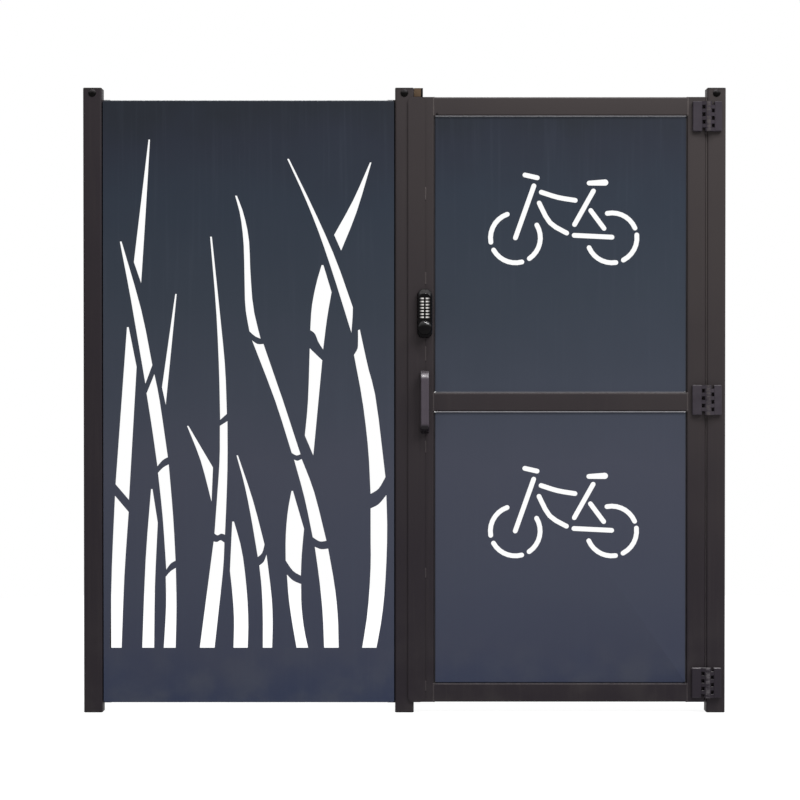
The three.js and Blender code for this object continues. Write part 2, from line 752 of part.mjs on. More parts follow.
function add_infills(door) {
  const width = door_width - 2 * (door_tube_width + infill_side_gap);
  const names = ["upper_infill", "lower_infill"];
  infill_spans().forEach(([low, high], i) => {
    const height = high - low;
    const left = door_tube_width + infill_side_gap;
    const place = group_at(door, left, door_front + infill_recess, low);
    const sign = bicycle_sign(bicycle_place_share.across * width, bicycle_place_share.up * height);
    piece(place, names[i], finish.panel, folded_sheet(width, height, sign));
  });
}

// Holes in the lock stile, from its centre line: lock spindle, lock bolts, latch and handle screws
function lock_stile_holes() {
  const half = door_tube_width / 2;
  const [low, high] = [-half - overrun, half + overrun];
  const from_door = (height) => height - door_bottom;
  const latch_z = from_door(latch_height_from_ground);
  const lock_z = from_door(lock_height_from_ground);
  const handle_z = from_door(handle_height_from_ground);
  const bolt_hole = (z) => bar("y", lock_bolt_radius + seat_gap, low, high, 0, z);
  const screw_hole = (z) => bar("y", handle_screw_radius + seat_gap, low, high, 0, z);
  return [
    bar("y", spindle_bore_radius, low, high, 0, latch_z),
    bolt_hole(lock_z + lock_bolt_rise),
    bolt_hole(lock_z - lock_bolt_drop),
    bar("x", case_flange_radius + seat_gap, low, 0, 0, latch_z, fine_steps),
    screw_hole(handle_z + handle_screw_offset()),
    screw_hole(handle_z - handle_screw_offset()),
  ];
}

function handle_screw_offset() {
  return (handle_length - handle_foot) / 2;
}

// The closing strip, with pads of its own thickness that carry the lock and the handle level.
function closing_strip() {
  const left = half_post - closing_strip_lap - door_left;
  const right = left + closing_strip_width;
  const bar_outline = rectangle(left, right, 0, door_height, closing_strip_corner);
  const pad = (width, low, high) => {
    const margin = mounting_pad_margin;
    const reach = stile_centre + width / 2 - margin;
    return prism(
      rectangle(right - closing_strip_corner, reach, low + margin, high - margin, margin),
      "y",
      strip_front,
      strip_back,
    );
  };
  const lock_z = lock_height_from_ground - door_bottom;
  const latch_z = latch_height_from_ground - door_bottom;
  const handle_z = handle_height_from_ground - door_bottom;
  const half_lock = lock_length / 2;
  const half_handle = handle_length / 2;
  const body = joined(
    prism(bar_outline, "y", strip_front, strip_back),
    pad(lock_width, lock_z - half_lock + lock_corner, lock_z + half_lock - lock_corner),
    pad(handle_width, handle_z + half_handle - handle_foot, handle_z + half_handle),
    pad(handle_width, handle_z - half_handle, handle_z - half_handle + handle_foot),
  );
  const hole = (radius, z) =>
    bar("y", radius, strip_front - overrun, strip_back + overrun, stile_centre, z);
  return cut(
    body,
    hole(spindle_bore_radius, latch_z),
    hole(lock_bolt_radius + seat_gap, lock_z + lock_bolt_rise),
    hole(lock_bolt_radius + seat_gap, lock_z - lock_bolt_drop),
    hole(handle_screw_radius + seat_gap, handle_z + handle_screw_offset()),
    hole(handle_screw_radius + seat_gap, handle_z - handle_screw_offset()),
  );
}

// Comb hinges, around their pin: x across, y towards the shelter, z up from the hinge's middle

// One leaf. side is -1 for the door's leaf and 1 for the post's. Its fingers take every second
// place, from the top for the door and from the next one down for the post.
function hinge_leaf(side, reach) {
  const back = barrel_radius + barrel_lift;
  const front = -leaf_rise;
  const edge_x = barrel_radius + notch_width;
  const half = hinge_height / 2;
  const [low_x, high_x] = side < 0 ? [-reach, -edge_x] : [edge_x, reach];
  const plate = loft("y", [
    [back, rectangle(low_x, high_x, -half, half, leaf_corner)],
    [front + leaf_edge, rectangle(low_x, high_x, -half, half, leaf_corner)],
    [
      front,
      rectangle(
        low_x + leaf_edge,
        high_x - leaf_edge,
        -half + leaf_edge,
        half - leaf_edge,
        leaf_corner - leaf_edge,
      ),
    ],
  ]);
  const pitch = hinge_height / hinge_fingers;
  const web = new THREE.Shape();
  const root_x = side * (edge_x + leaf_edge + weld_bite);
  web.moveTo(0, barrel_radius);
  web.lineTo(root_x, barrel_radius);
  web.lineTo(root_x, front + leaf_edge);
  web.lineTo(side * edge_x, front);
  web.lineTo(0, -barrel_radius);
  web.closePath();
  const fingers = [];
  for (let i = side < 0 ? 0 : 1; i < hinge_fingers; i += 2) {
    const high = half - i * pitch - finger_gap / 2;
    const low = high - pitch + finger_gap;
    fingers.push(prism(web, "z", low, high), bar("z", barrel_radius, low, high, 0, 0, barrel_steps));
  }
  const bore_radius = hinge_pin_radius + seat_gap;
  const bore = bar("z", bore_radius, -half - overrun, half + overrun, 0, 0, bore_steps);
  return cut(joined(plate, ...fingers), bore);
}

function hinge_pin() {
  const half = hinge_height / 2 - finger_gap;
  const [point, radius] = [hinge_pin_point, hinge_pin_radius];
  const circle = (r) => rectangle(-r, r, -r, r, r);
  return loft("z", [
    [-half, circle(radius - point)],
    [-half + point, circle(radius)],
    [half - point, circle(radius)],
    [half, circle(radius - point)],
  ], rounded_steps);
}

function add_hinge(root, name, height) {
  const hinge = group_at(root, hinge_x, hinge_y, height);
  piece(hinge, `${name}_door_leaf`, finish.hinge, hinge_leaf(-1, door_leaf_reach));
  piece(hinge, `${name}_post_leaf`, finish.hinge, hinge_leaf(1, post_leaf_reach));
  piece(hinge, `${name}_hinge_pin`, finish.steel, hinge_pin());
}

// Lock, around the middle of its body: x across, z up; y as on the posts

function button_places() {
  const places = [];
  for (const [column, across] of [["left", -button_column_offset], ["right", button_column_offset]]) {
    for (let row = 0; row < button_rows; row += 1) {
      const up = top_button_rise - row * button_pitch;
      places.push({ name: `button_${column}_${row + 1}`, across, up });
    }
  }
  return places;
}

// A rounded rectangle around a place on the lock's face.
function lock_outline(across, up, width, height, radius) {
  const [half_w, half_h] = [width / 2, height / 2];
  return rectangle(across - half_w, across + half_w, up - half_h, up + half_h, radius);
}

function lock_body() {
  const half_w = lock_width / 2;
  const half_l = lock_length / 2;
  const base = rectangle(-half_w, half_w, -half_l, half_l, lock_corner);
  const face = (inset) =>
    rectangle(
      -half_w + lock_side_slope + inset,
      half_w - lock_side_slope - inset,
      -half_l + lock_side_slope + inset,
      half_l - lock_hood_slope - inset,
      lock_corner - lock_side_slope - inset,
    );
  const body = loft(
    "y",
    [
      [lock_back, base],
      [lock_back - lock_base_depth, base],
      [lock_front + lock_front_edge, face(0)],
      [lock_front, face(lock_front_edge)],
    ],
    rounded_steps,
  );
  const pocket_floor = lock_front + button_root + button_travel + button_clearance;
  const pockets = button_places().map(({ across, up }) =>
    prism(
      lock_outline(
        across,
        up,
        button_width + 2 * button_clearance,
        button_height + 2 * button_clearance,
        button_corner + button_clearance,
      ),
      "y",
      lock_front - overrun,
      pocket_floor,
    ),
  );
  const bolt_hole = (z) =>
    bar(
      "y",
      lock_bolt_radius + seat_gap,
      lock_back - lock_bolt_bite - seat_gap,
      lock_back + overrun,
      0,
      z,
    );
  return cut(
    body,
    ...pockets,
    bar("y", spindle_bore_radius, lock_front - overrun, lock_back + overrun, 0, -knob_drop),
    bolt_hole(lock_bolt_rise),
    bolt_hole(-lock_bolt_drop),
  );
}

function lock_button() {
  const [w, h, r, e] = [button_width, button_height, button_corner, button_edge];
  return loft("y", [
    [lock_front + button_root, lock_outline(0, 0, w, h, r)],
    [lock_front - button_proud + e, lock_outline(0, 0, w, h, r)],
    [lock_front - button_proud, lock_outline(0, 0, w - 2 * e, h - 2 * e, r - e)],
  ]);
}

// The knob with its square spindle, around the spindle.
function lock_knob() {
  const seat = lock_front - seat_gap;
  const tip = seat - knob_length;
  const crown = [];
  const dome = (knob_length - knob_waist) / 2;
  for (let i = 0; i <= cap_steps + 1; i += 1) {
    const angle = (Math.PI / 2) * (i / (cap_steps + 1));
    crown.push([tip + dome * (1 - Math.cos(angle)), knob_radius * Math.sin(angle)]);
  }
  const grip = turned([
    ...crown,
    [seat - knob_waist, knob_radius - cap_edge],
    [seat - knob_waist / 2, knob_neck_radius],
    [seat, knob_neck_radius],
    [seat, 0],
  ]);
  const half = spindle_width / 2;
  const end = door_back + back_plate_depth + turn_hub_depth;
  return joined(grip, block([-half, seat - weld_bite, -half], [half, end, half]));
}

function lock_back_plate() {
  const back = door_back + seat_gap;
  const top = back + back_plate_depth;
  const half_l = back_plate_length / 2;
  const half_w = lock_width / 2;
  const plate = loft(
    "y",
    [
      [back, rectangle(-half_w, half_w, -half_l, half_l, lock_corner)],
      [top - lock_side_slope, rectangle(-half_w, half_w, -half_l, half_l, lock_corner)],
      [
        top,
        rectangle(
          -half_w + lock_side_slope,
          half_w - lock_side_slope,
          -half_l + lock_side_slope,
          half_l - lock_side_slope,
          lock_corner - lock_side_slope,
        ),
      ],
    ],
    rounded_steps,
  );
  return cut(
    plate,
    bar("y", spindle_bore_radius, back - overrun, top + overrun, 0, -knob_drop),
    ...[lock_bolt_rise, -lock_bolt_drop].map((z) => lock_bolt_tool(z, seat_gap)),
  );
}

// A countersunk lock bolt from behind, or the hole for it when a clearance is added.
function lock_bolt_tool(z, clearance) {
  const top = door_back + seat_gap + back_plate_depth;
  const shank = lock_bolt_radius + clearance;
  const head = lock_bolt_head_radius + clearance;
  const end = lock_back - lock_bolt_bite;
  const sunk = head - shank;
  const stations = [[end, 0], [end, shank], [top - sunk, shank], [top, head]];
  if (clearance > 0) stations.push([top + overrun, head], [top + overrun, 0]);
  else stations.push([top, 0]);
  return turned(stations, small_steps).translate([0, 0, z]);
}

// The thumb turn on the shelter side, around the spindle.
function inside_turn() {
  const seat = door_back + seat_gap + back_plate_depth + seat_gap;
  const lever_top = seat + turn_hub_depth + turn_lever_depth;
  const [half_w, half_l] = [turn_lever_width / 2, turn_lever_length / 2];
  const edge = cap_edge;
  const lever = loft("y", [
    [seat + turn_hub_depth - weld_bite, rectangle(-half_w, half_w, -half_l, half_l, half_w - edge)],
    [lever_top - edge, rectangle(-half_w + edge, half_w - edge, -half_l, half_l, half_w - 2 * edge)],
    [
      lever_top,
      rectangle(-half_w + 2 * edge, half_w - 2 * edge, -half_l + edge, half_l - edge, edge),
    ],
  ]);
  const hub = bar("y", turn_hub_radius, seat, seat + turn_hub_depth, 0, 0, fine_steps);
  const half = spindle_width / 2 + seat_gap;
  const socket = block([-half, seat - overrun, -half], [half, seat + turn_hub_depth + overrun, half]);
  return cut(joined(hub, lever), socket);
}

// The tubular latch, from the stile's outer face: x into the stile, around the spindle's height.

function latch_bolt() {
  const tip = latch_set_back;
  const head_end = tip + latch_head_length;
  const half = latch_width / 2;
  const head = new THREE.Shape();
  head.moveTo(tip, -half);
  head.lineTo(head_end, -half);
  head.lineTo(head_end, half);
  head.lineTo(tip + latch_bevel, half);
  head.lineTo(tip, half - latch_bevel);
  head.closePath();
  const half_tail = latch_tail_width / 2;
  const tall = latch_height / 2;
  const tail_end = head_end + latch_tail_length;
  const slot = spindle_bore_radius;
  return cut(
    joined(
      prism(head, "z", -tall, tall),
      block([head_end - weld_bite, -half_tail, -tall], [tail_end, half_tail, tall]),
    ),
    block(
      [stile_centre - slot, -half_tail - overrun, -slot],
      [stile_centre + latch_throw + slot, half_tail + overrun, slot],
    ),
  );
}

function latch_case() {
  const body = joined(
    bar("x", case_flange_radius, 0, door_tube_wall, 0, 0, fine_steps),
    bar("x", case_radius, 0, case_length, 0, 0, fine_steps),
  );
  const [half_w, half_h] = [latch_width / 2 + latch_clearance, latch_height / 2 + latch_clearance];
  const bore = block([-overrun, -half_w, -half_h], [case_length + overrun, half_w, half_h]);
  const spindle_hole = bar("y", spindle_bore_radius, -case_radius - overrun, case_radius + overrun,
    stile_centre, 0);
  return cut(body, bore, spindle_hole);
}

function add_lock(door) {
  const lock = group_at(door, stile_centre, 0, lock_height_from_ground - door_bottom);
  piece(lock, "lock_body", finish.lock, lock_body());
  piece(lock, "lock_back_plate", finish.lock, lock_back_plate());
  piece(lock, "upper_lock_bolt", finish.steel, lock_bolt_tool(lock_bolt_rise, 0));
  piece(lock, "lower_lock_bolt", finish.steel, lock_bolt_tool(-lock_bolt_drop, 0));
  for (const { name, across, up } of button_places()) {
    piece(group_at(lock, across, 0, up), name, finish.button, lock_button());
  }
  const spindle = group_at(lock, 0, 0, -knob_drop);
  piece(spindle, "lock_knob", finish.lock, lock_knob());
  piece(spindle, "inside_turn", finish.lock, inside_turn());
  const latch = group_at(door, 0, door_axis_y, latch_height_from_ground - door_bottom);
  piece(latch, "latch_case", finish.steel, latch_case());
  piece(latch, "latch_bolt", finish.steel, latch_bolt());
}

// Pull handle, around its middle: y from its seat out to the street is negative

// Draws a line towards a corner and bends round it, from reach before it to reach after it.
function bend_round(shape, before, corner, after, reach) {
  const off_corner = (end) => {
    const share = reach / Math.hypot(end[0] - corner[0], end[1] - corner[1]);
    return corner.map((place, i) => place + (end[i] - place) * share);
  };
  shape.lineTo(...off_corner(before));
  shape.quadraticCurveTo(...corner, ...off_corner(after));
}

function pull_handle() {
  const half = handle_length / 2;
  const e = handle_edge;
  const out = -handle_stand;
  const upper_foot = [[0, half - handle_foot], [0, half]];
  const lower_foot = [[0, -half], [0, -half + handle_foot]];
  const inner_rise = half - handle_foot - handle_inner_slope;
  const inner = [[out + handle_grip, -inner_rise], [out + handle_grip, inner_rise]];
  const outer = [[out, half - handle_slope], [out, -half + handle_slope]];
  const side = new THREE.Shape();
  side.moveTo(...lower_foot[0]);
  side.lineTo(...lower_foot[1]);
  bend_round(side, lower_foot[1], inner[0], inner[1], handle_inner_bend);
  bend_round(side, inner[0], inner[1], upper_foot[0], handle_inner_bend);
  side.lineTo(...upper_foot[0]);
  side.lineTo(...upper_foot[1]);
  bend_round(side, upper_foot[1], outer[0], outer[1], handle_bend);
  bend_round(side, outer[0], outer[1], lower_foot[0], handle_bend);
  side.closePath();
  const geometry = new THREE.ExtrudeGeometry(side, {
    curveSegments: bend_steps,
    depth: handle_width - 2 * e,
    bevelThickness: e,
    bevelSize: e,
    bevelOffset: -e,
    bevelSegments: rounded_steps,
  });
  geometry.translate(0, 0, e - handle_width / 2);
  geometry.applyMatrix4(along.x);
  const hole = (z) =>
    bar("y", handle_screw_radius + seat_gap, -handle_screw_bite - seat_gap, overrun, 0, z);
  return cut(solid(geometry), hole(handle_screw_offset()), hole(-handle_screw_offset()));
}

// A pan-head screw from behind the stile into the handle's foot.
function handle_screw() {
  const seat = door_back + seat_gap;
  const top = seat + handle_screw_head_height;
  const end = strip_front - seat_gap - handle_screw_bite;
  return turned(
    [
      [end, 0],
      [end, handle_screw_radius],
      [seat, handle_screw_radius],
      [seat, handle_screw_head_radius],
      [top - cap_edge, handle_screw_head_radius],
      [top, handle_screw_head_radius - cap_edge],
      [top, 0],
    ],
    small_steps,
  );
}

function add_handle(door) {
  const handle = group_at(door, stile_centre, 0, handle_height_from_ground - door_bottom);
  const grip = piece(handle, "pull_handle", finish.handle, pull_handle());
  grip.position.y = strip_front - seat_gap;
  for (const [name, side] of [["upper_handle_screw", 1], ["lower_handle_screw", -1]]) {
    const screw = piece(handle, name, finish.steel, handle_screw());
    screw.position.z = side * handle_screw_offset();
  }
}

// Keep in the middle post

function keep_hole() {
  const [half_w, half_h] = [keep_width / 2, keep_height / 2];
  return block(
    [half_post - post_wall - overrun, -half_w, latch_height_from_ground - half_h],
    [half_post + overrun, half_w, latch_height_from_ground + half_h],
  );
}

function strike_plate() {
  const [half_w, half_l] = [strike_plate_width / 2, strike_plate_length / 2];
  const plate = rectangle(-half_w, half_w, -half_l, half_l, strike_plate_corner);
  plate.holes.push(rectangle(-keep_width / 2, keep_width / 2, -keep_height / 2, keep_height / 2));
  const screw_z = half_l - strike_screw_inset;
  const body = prism(plate, "x", 0, strike_plate_thickness);
  const screw_hole = (z) =>
    bar("x", strike_screw_radius, -overrun, strike_plate_thickness + overrun, 0, z);
  return cut(body, screw_hole(screw_z), screw_hole(-screw_z));
}

// The block on the side of the middle post that keeps the door from being lifted off its hinges.
// It reaches over the lock stile and is level with the top of the post.
function lift_stop() {
  const low = bay_height - door_top_drop + lift_stop_clearance;
  const outline = rectangle(0, lift_stop_reach, low, bay_height, lift_stop_corner);
  return prism(outline, "y", -lift_stop_depth / 2, lift_stop_depth / 2);
}

function add_door(root) {
  const door = group_at(root, door_left, 0, door_bottom);
  const lock_side = group_at(door, stile_centre, door_axis_y, 0);
  piece(lock_side, "lock_stile", finish.frame, stile(1, lock_stile_holes()));
  const hinge_side = group_at(door, door_width - stile_centre, door_axis_y, 0);
  piece(hinge_side, "hinge_stile", finish.frame, stile(-1, []));
  add_rail(door, "top_rail", door_height - door_tube_width / 2, [-1]);
  add_rail(door, "middle_rail", middle_rail_height, [-1, 1]);
  add_rail(door, "bottom_rail", door_tube_width / 2, [1]);
  piece(door, "closing_strip", finish.frame, closing_strip());
  add_infills(door);
  add_handle(door);
  add_lock(door);
}

// Assembly
const locker_front = new THREE.Group();
add_post(locker_front, "left", -bay_spacing, 1);
add_post(locker_front, "middle", 0, -1, [keep_hole()]);
add_post(locker_front, "right", bay_spacing, 0);
add_reed_panel(locker_front);
const keep = group_at(locker_front, half_post + seat_gap, 0, latch_height_from_ground);
piece(keep, "strike_plate", finish.steel, strike_plate());
const stop = group_at(locker_front, half_post + seat_gap, 0, 0);
piece(stop, "lift_stop", finish.cap, lift_stop());
add_door(locker_front);
add_hinge(locker_front, "bottom", door_bottom + hinge_end_inset);
add_hinge(locker_front, "middle", door_bottom + door_height / 2);
add_hinge(locker_front, "top", door_bottom + door_height - hinge_end_inset);

export default locker_front;
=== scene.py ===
# %% [markdown]
# # The front of a bicycle locker
#
# The object is a steel front of a lockable bicycle shelter: three square posts, a fixed sheet
# with reeds cut out of it, and a door on comb hinges with a push-button lock. The rigid model
# comes ready made, with its joints. This lesson dresses it: it gives every part the finish of
# the real one, replaces the parts whose facets would show by finer ones, and adds what is too
# small for the rigid model, such as weld beads and screws. Everything is in metres, x runs
# along the front, y goes back towards the shelter, and z is up from the ground.

import json
import math

import bmesh
import bpy
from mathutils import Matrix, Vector

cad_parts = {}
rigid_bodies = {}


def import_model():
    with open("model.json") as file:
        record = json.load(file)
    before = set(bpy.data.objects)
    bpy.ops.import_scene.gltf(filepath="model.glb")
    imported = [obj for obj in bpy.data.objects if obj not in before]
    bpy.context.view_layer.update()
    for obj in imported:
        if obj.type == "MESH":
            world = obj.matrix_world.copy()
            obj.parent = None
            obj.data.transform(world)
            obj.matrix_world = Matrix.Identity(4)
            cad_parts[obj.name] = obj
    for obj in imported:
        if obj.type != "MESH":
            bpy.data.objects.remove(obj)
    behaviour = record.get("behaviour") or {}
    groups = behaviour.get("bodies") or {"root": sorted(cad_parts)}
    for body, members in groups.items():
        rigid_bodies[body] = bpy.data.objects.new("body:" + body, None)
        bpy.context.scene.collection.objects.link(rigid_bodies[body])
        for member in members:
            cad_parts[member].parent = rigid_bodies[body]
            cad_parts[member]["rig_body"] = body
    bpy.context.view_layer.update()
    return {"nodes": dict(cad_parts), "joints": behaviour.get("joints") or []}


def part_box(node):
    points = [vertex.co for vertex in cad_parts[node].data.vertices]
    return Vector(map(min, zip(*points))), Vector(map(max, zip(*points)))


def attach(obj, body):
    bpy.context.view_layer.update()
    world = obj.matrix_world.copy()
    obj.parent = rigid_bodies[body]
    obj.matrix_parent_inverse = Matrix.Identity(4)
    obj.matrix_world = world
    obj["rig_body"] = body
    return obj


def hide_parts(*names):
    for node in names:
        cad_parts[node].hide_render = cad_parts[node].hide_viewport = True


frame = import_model()
nodes = frame["nodes"]
mm = 0.001


def object_of(name, data):
    """Puts a mesh, a lamp or a lens into the scene."""
    made = bpy.data.objects.new(name, data)
    bpy.context.scene.collection.objects.link(made)
    return made


# %% [markdown]
# ## Camera
#
# The picture looks at the front square on. Nothing shines through the gap between the door and
# the right post, and at the top of that post a strip of its inner side shows, which a camera
# about seven metres away gives. The front is a little wider at its top than at its foot, so the
# camera also looks down by less than a degree.

# %% Set up the camera
view_width = 2.5665
camera_distance = 7.0
camera_tilt = math.radians(0.7)
picture_centre = Vector((-0.0142, -0.03, 1.0044))

lens = bpy.data.cameras.new("long_lens")
lens.sensor_width = 36.0
lens.lens = lens.sensor_width * camera_distance / view_width
camera = object_of("camera", lens)
towards_camera = Vector((0.0, -math.cos(camera_tilt), math.sin(camera_tilt)))
camera.location = picture_centre + towards_camera * camera_distance
camera.rotation_euler = (math.pi / 2.0 - camera_tilt, 0.0, 0.0)
bpy.context.scene.camera = camera
print("lens in mm:", round(lens.lens, 1))

# %% [markdown]
# ## Writing node trees as sums
#
# Shader and geometry nodes are easier to read as sums than as boxes and links. A `Quantity`
# wraps one output socket, and its operators add Math nodes. `NodeSheet` is the tree that is
# being drawn, with one call for every other kind of node.

# %% Define quantities and node sheets
class Quantity:
    """An output socket that can be used in a sum."""

    def __init__(self, sheet, socket):
        self.sheet = sheet
        self.socket = socket

    def math(self, operation, *operands):
        return self.sheet.node("ShaderNodeMath", dict(enumerate(operands)), operation=operation)

    def __add__(self, other):
        return self.math("ADD", self, other)

    def __sub__(self, other):
        return self.math("SUBTRACT", self, other)

    def __rsub__(self, other):
        return self.math("SUBTRACT", other, self)

    def __mul__(self, other):
        return self.math("MULTIPLY", self, other)

    __radd__ = __add__
    __rmul__ = __mul__

    def between(self, low, high):
        """0 below low, 1 above high, and a smooth step from one to the other."""
        values = {"Value": self, "From Min": low, "From Max": high}
        return self.sheet.node("ShaderNodeMapRange", values, interpolation_type="SMOOTHSTEP")


class NodeSheet:
    """A node tree that is being drawn."""

    def __init__(self, tree):
        self.tree = tree

    def node(self, kind, inputs=None, output=0, **settings):
        made = self.tree.nodes.new(kind)
        for name, value in settings.items():
            setattr(made, name, value)
        for key, value in (inputs or {}).items():
            self.feed(made.inputs[key], value)
        return Quantity(self, made.outputs[output])

    def feed(self, socket, value):
        if isinstance(value, Quantity):
            self.tree.links.new(value.socket, socket)
        else:
            socket.default_value = value


def paint(red, green, blue):
    """A colour as it is read from a screen, 0 to 255, for a node's linear socket."""
    channels = [channel / 255.0 for channel in (red, green, blue)]
    linear = [c / 12.92 if c <= 0.04045 else ((c + 0.055) / 1.055) ** 2.4 for c in channels]
    return (*linear, 1.0)


print("a mid grey is", round(paint(128, 128, 128)[0], 3), "in linear light")

# %% [markdown]
# ## Finishes
#
# A finish is a Principled shader whose colour, roughness and bump come from noise at the scale
# of the real coating. All patterns read object coordinates, so they stay on the part when it
# moves. What is the same all over is set on the shader itself.

# %% Define a finish
class Finish(NodeSheet):
    """A material with one Principled shader, and the patterns that coatings share. Its slot is
    the one of the rigid model that its pieces stand for."""

    def __init__(self, name, slot=None, roughness=0.5, specular=0.2, metallic=0.0):
        self.slot = slot
        self.material = bpy.data.materials.new(name)
        self.material.use_nodes = True
        super().__init__(self.material.node_tree)
        self.shader = self.tree.nodes["Principled BSDF"]
        self.set("Roughness", roughness)
        self.set("Specular IOR Level", specular)
        self.set("Metallic", metallic)
        self.place = self.node("ShaderNodeTexCoord", output="Object")

    def set(self, socket, value):
        self.feed(self.shader.inputs[socket], value)

    def along(self, axis):
        """Metres from the origin along X, Y or Z."""
        return self.node("ShaderNodeSeparateXYZ", {"Vector": self.place}, axis)

    def height(self):
        """Metres above the ground."""
        return self.along("Z")

    def facing(self, axis):
        """1 where the surface faces along an axis of the part, and -1 where it faces away."""
        normal = self.node("ShaderNodeTexCoord", output="Normal")
        return self.node("ShaderNodeSeparateXYZ", {"Vector": normal}, axis)

    def aside(self, middle):
        """Metres to either side of the upright plane at x = middle."""
        offset = self.along("X") - middle
        return offset.math("ABSOLUTE", offset)

    def noise(self, grain, detail=3.0, stretch=(1.0, 1.0, 1.0)):
        """Noise from 0 to 1 whose features are about grain metres apart."""
        place = self.node("ShaderNodeMapping", {"Vector": self.place, "Scale": stretch})
        values = {"Vector": place, "Scale": 1.0 / grain, "Detail": detail}
        return self.node("ShaderNodeTexNoise", values)

    def blend(self, first, second, share):
        values = {0: share, 6: first, 7: second}
        return self.node("ShaderNodeMix", values, 2, data_type="RGBA")

    def overlay(self, colour, share):
        """Lays a colour over the one that the shader has by now."""
        below = self.shader.inputs["Base Color"].links[0].from_socket
        self.set("Base Color", self.blend(Quantity(self, below), colour, share))

    def ramp(self, share, stops):
        """A colour that goes over from stop to stop, each a place from 0 to 1 and a colour."""
        made = self.node("ShaderNodeValToRGB", {"Fac": share})
        elements = made.socket.node.color_ramp.elements
        while len(elements) < len(stops):
            elements.new(1.0)
        for element, (place, colour) in zip(elements, stops):
            element.position, element.color = place, colour
        return made

    def end(self, roughness, relief, depth):
        """Ends a finish with its roughness, and a relief from 0 to 1 that stands depth high."""
        self.set("Roughness", roughness)
        values = {"Height": relief, "Distance": depth, "Strength": 1.0}
        self.set("Normal", self.node("ShaderNodeBump", values))
        return self


print("finish helper ready")

# %% [markdown]
# ### Powder coat on the frame
#
# The posts and the door's tubes have a warm dark grey powder coat. Sprayed powder melts into
# a skin with a fine orange peel, a millimetre or two from hump to hump. The colour is painted
# lighter towards the top and towards the right, and darker towards the ground: painted light
# and painted shade, where more or less of the lamp's light falls. Near the ground it has a film
# of road dust, and faint runs show where rain drips. Noise breaks all of that up.

# %% Define dust and rain, and dust that also paints a highlight
def road_dust(finish, pale_tone, reach=0.45):
    """Lightens the colour towards the ground, in patches."""
    near_ground = 1.0 - finish.height().between(0.0, reach)
    patches = finish.noise(0.09, detail=4.0).between(0.35, 0.75)
    finish.overlay(pale_tone, near_ground * patches * 0.4)


def dust_and_painted_highlight(finish, pale_tone, share, up_slopes=(0.15, 0.8), off_level_faces=0.0):
    """Lightens what faces up, as dust that also paints a highlight there: up_slopes is the slope
    from and to which it builds up, and off_level_faces is how much of it is kept off level faces."""
    patches = finish.noise(0.006).between(0.1, 0.8)
    level_face = finish.facing("Z").between(0.9, 0.99)
    facing_up = finish.facing("Z").between(*up_slopes) * (1.0 - level_face * off_level_faces)
    finish.overlay(pale_tone, facing_up * patches * share)


def rain_runs(finish, paler, share=0.25):
    """Adds faint upright runs, about a centimetre apart."""
    runs = finish.noise(0.012, stretch=(1.0, 1.0, 0.03)).between(0.5, 0.8)
    finish.overlay(paler, runs * share)


print("weather helpers ready")


# %% Make the frame's powder coat
def powder_coat(name, low, high, pale_tone, grain):
    """Painted shade at the ground goes over into painted light at the top, with orange peel."""
    finish = Finish(name, "frame_paint", specular=0.12)
    clouds = finish.noise(0.35)
    # Painted light: the colour grows lighter to the right and towards the top, where more lamp
    # light falls.
    painted_light_side = finish.along("X") * 0.45 + 0.8
    level = finish.height() * 0.5 * painted_light_side + (clouds - 0.5) * 0.6
    finish.set("Base Color", finish.blend(low, high, level.between(-0.1, 1.1)))
    rain_runs(finish, high)
    road_dust(finish, pale_tone)
    # Dust on what faces up, pale enough to also paint a highlight along the rails' top edges.
    dust_and_painted_highlight(finish, paint(112, 107, 108), 0.45)
    peel = finish.noise(grain, detail=1.0)
    return finish.end(0.42 + peel * 0.12 + clouds * 0.08, peel, 0.05 * mm)


tube_peel, weld_peel = 1.6 * mm, 0.9 * mm
# The low tone is painted shade at the ground, and the high tone painted light at the top.
frame_coat = powder_coat(
    "frame_coat", paint(36, 31, 36), paint(54, 49, 49), paint(58, 54, 54), tube_peel
)
# A paler copy of the frame's coat: its paleness is a painted highlight on the weld beads and on
# the cord beside the hinges.
weld_coat = powder_coat(
    "weld_coat", paint(56, 51, 54), paint(76, 70, 69), paint(76, 71, 70), weld_peel
)
print("made the frame's coat and the welds' paler one")

# %% [markdown]
# ### Powder coat on the sheets
#
# The sheets are a cooler blue grey with a smoother, satin skin. They are painted darkest at
# the top and paler downwards to about knee height: a ramp over the height that is partly
# painted shade and painted reflection. Noise breaks it up so that it doesn't look ruled.

# %% Make the sheets' powder coat
def sheet_coat():
    finish = Finish("sheet_coat", "panel_paint", specular=0.2)
    clouds = finish.noise(0.22, detail=4.0)
    level = finish.height() * 0.5 + (clouds - 0.5) * 0.12
    # The ramp is partly painted shade and painted reflection: its colours darken the sheets
    # towards the top.
    finish.set("Base Color", finish.ramp(level, [
        (0.03, paint(43, 50, 72)),
        (0.10, paint(52, 56, 73)),
        (0.20, paint(56, 60, 75)),
        (0.40, paint(59, 62, 75)),
        (0.50, paint(53, 58, 70)),
        (0.66, paint(43, 50, 61)),
        (0.82, paint(34, 42, 54)),
        (0.92, paint(28, 33, 45)),
        (0.97, paint(22, 27, 36)),
    ]))
    rain_runs(finish, paint(66, 72, 84), share=0.12)
    road_dust(finish, paint(76, 78, 84), reach=0.3)
    # Dust on what faces up, pale enough to also paint the highlight along the top folds.
    dust_and_painted_highlight(finish, paint(176, 180, 184), 0.9, off_level_faces=0.85)
    peel = finish.noise(2.0 * mm, detail=1.0)
    return finish.end(0.38 + peel * 0.08 + clouds * 0.1, peel, 0.03 * mm)


panel_coat = sheet_coat()
print("made the sheets' coat")

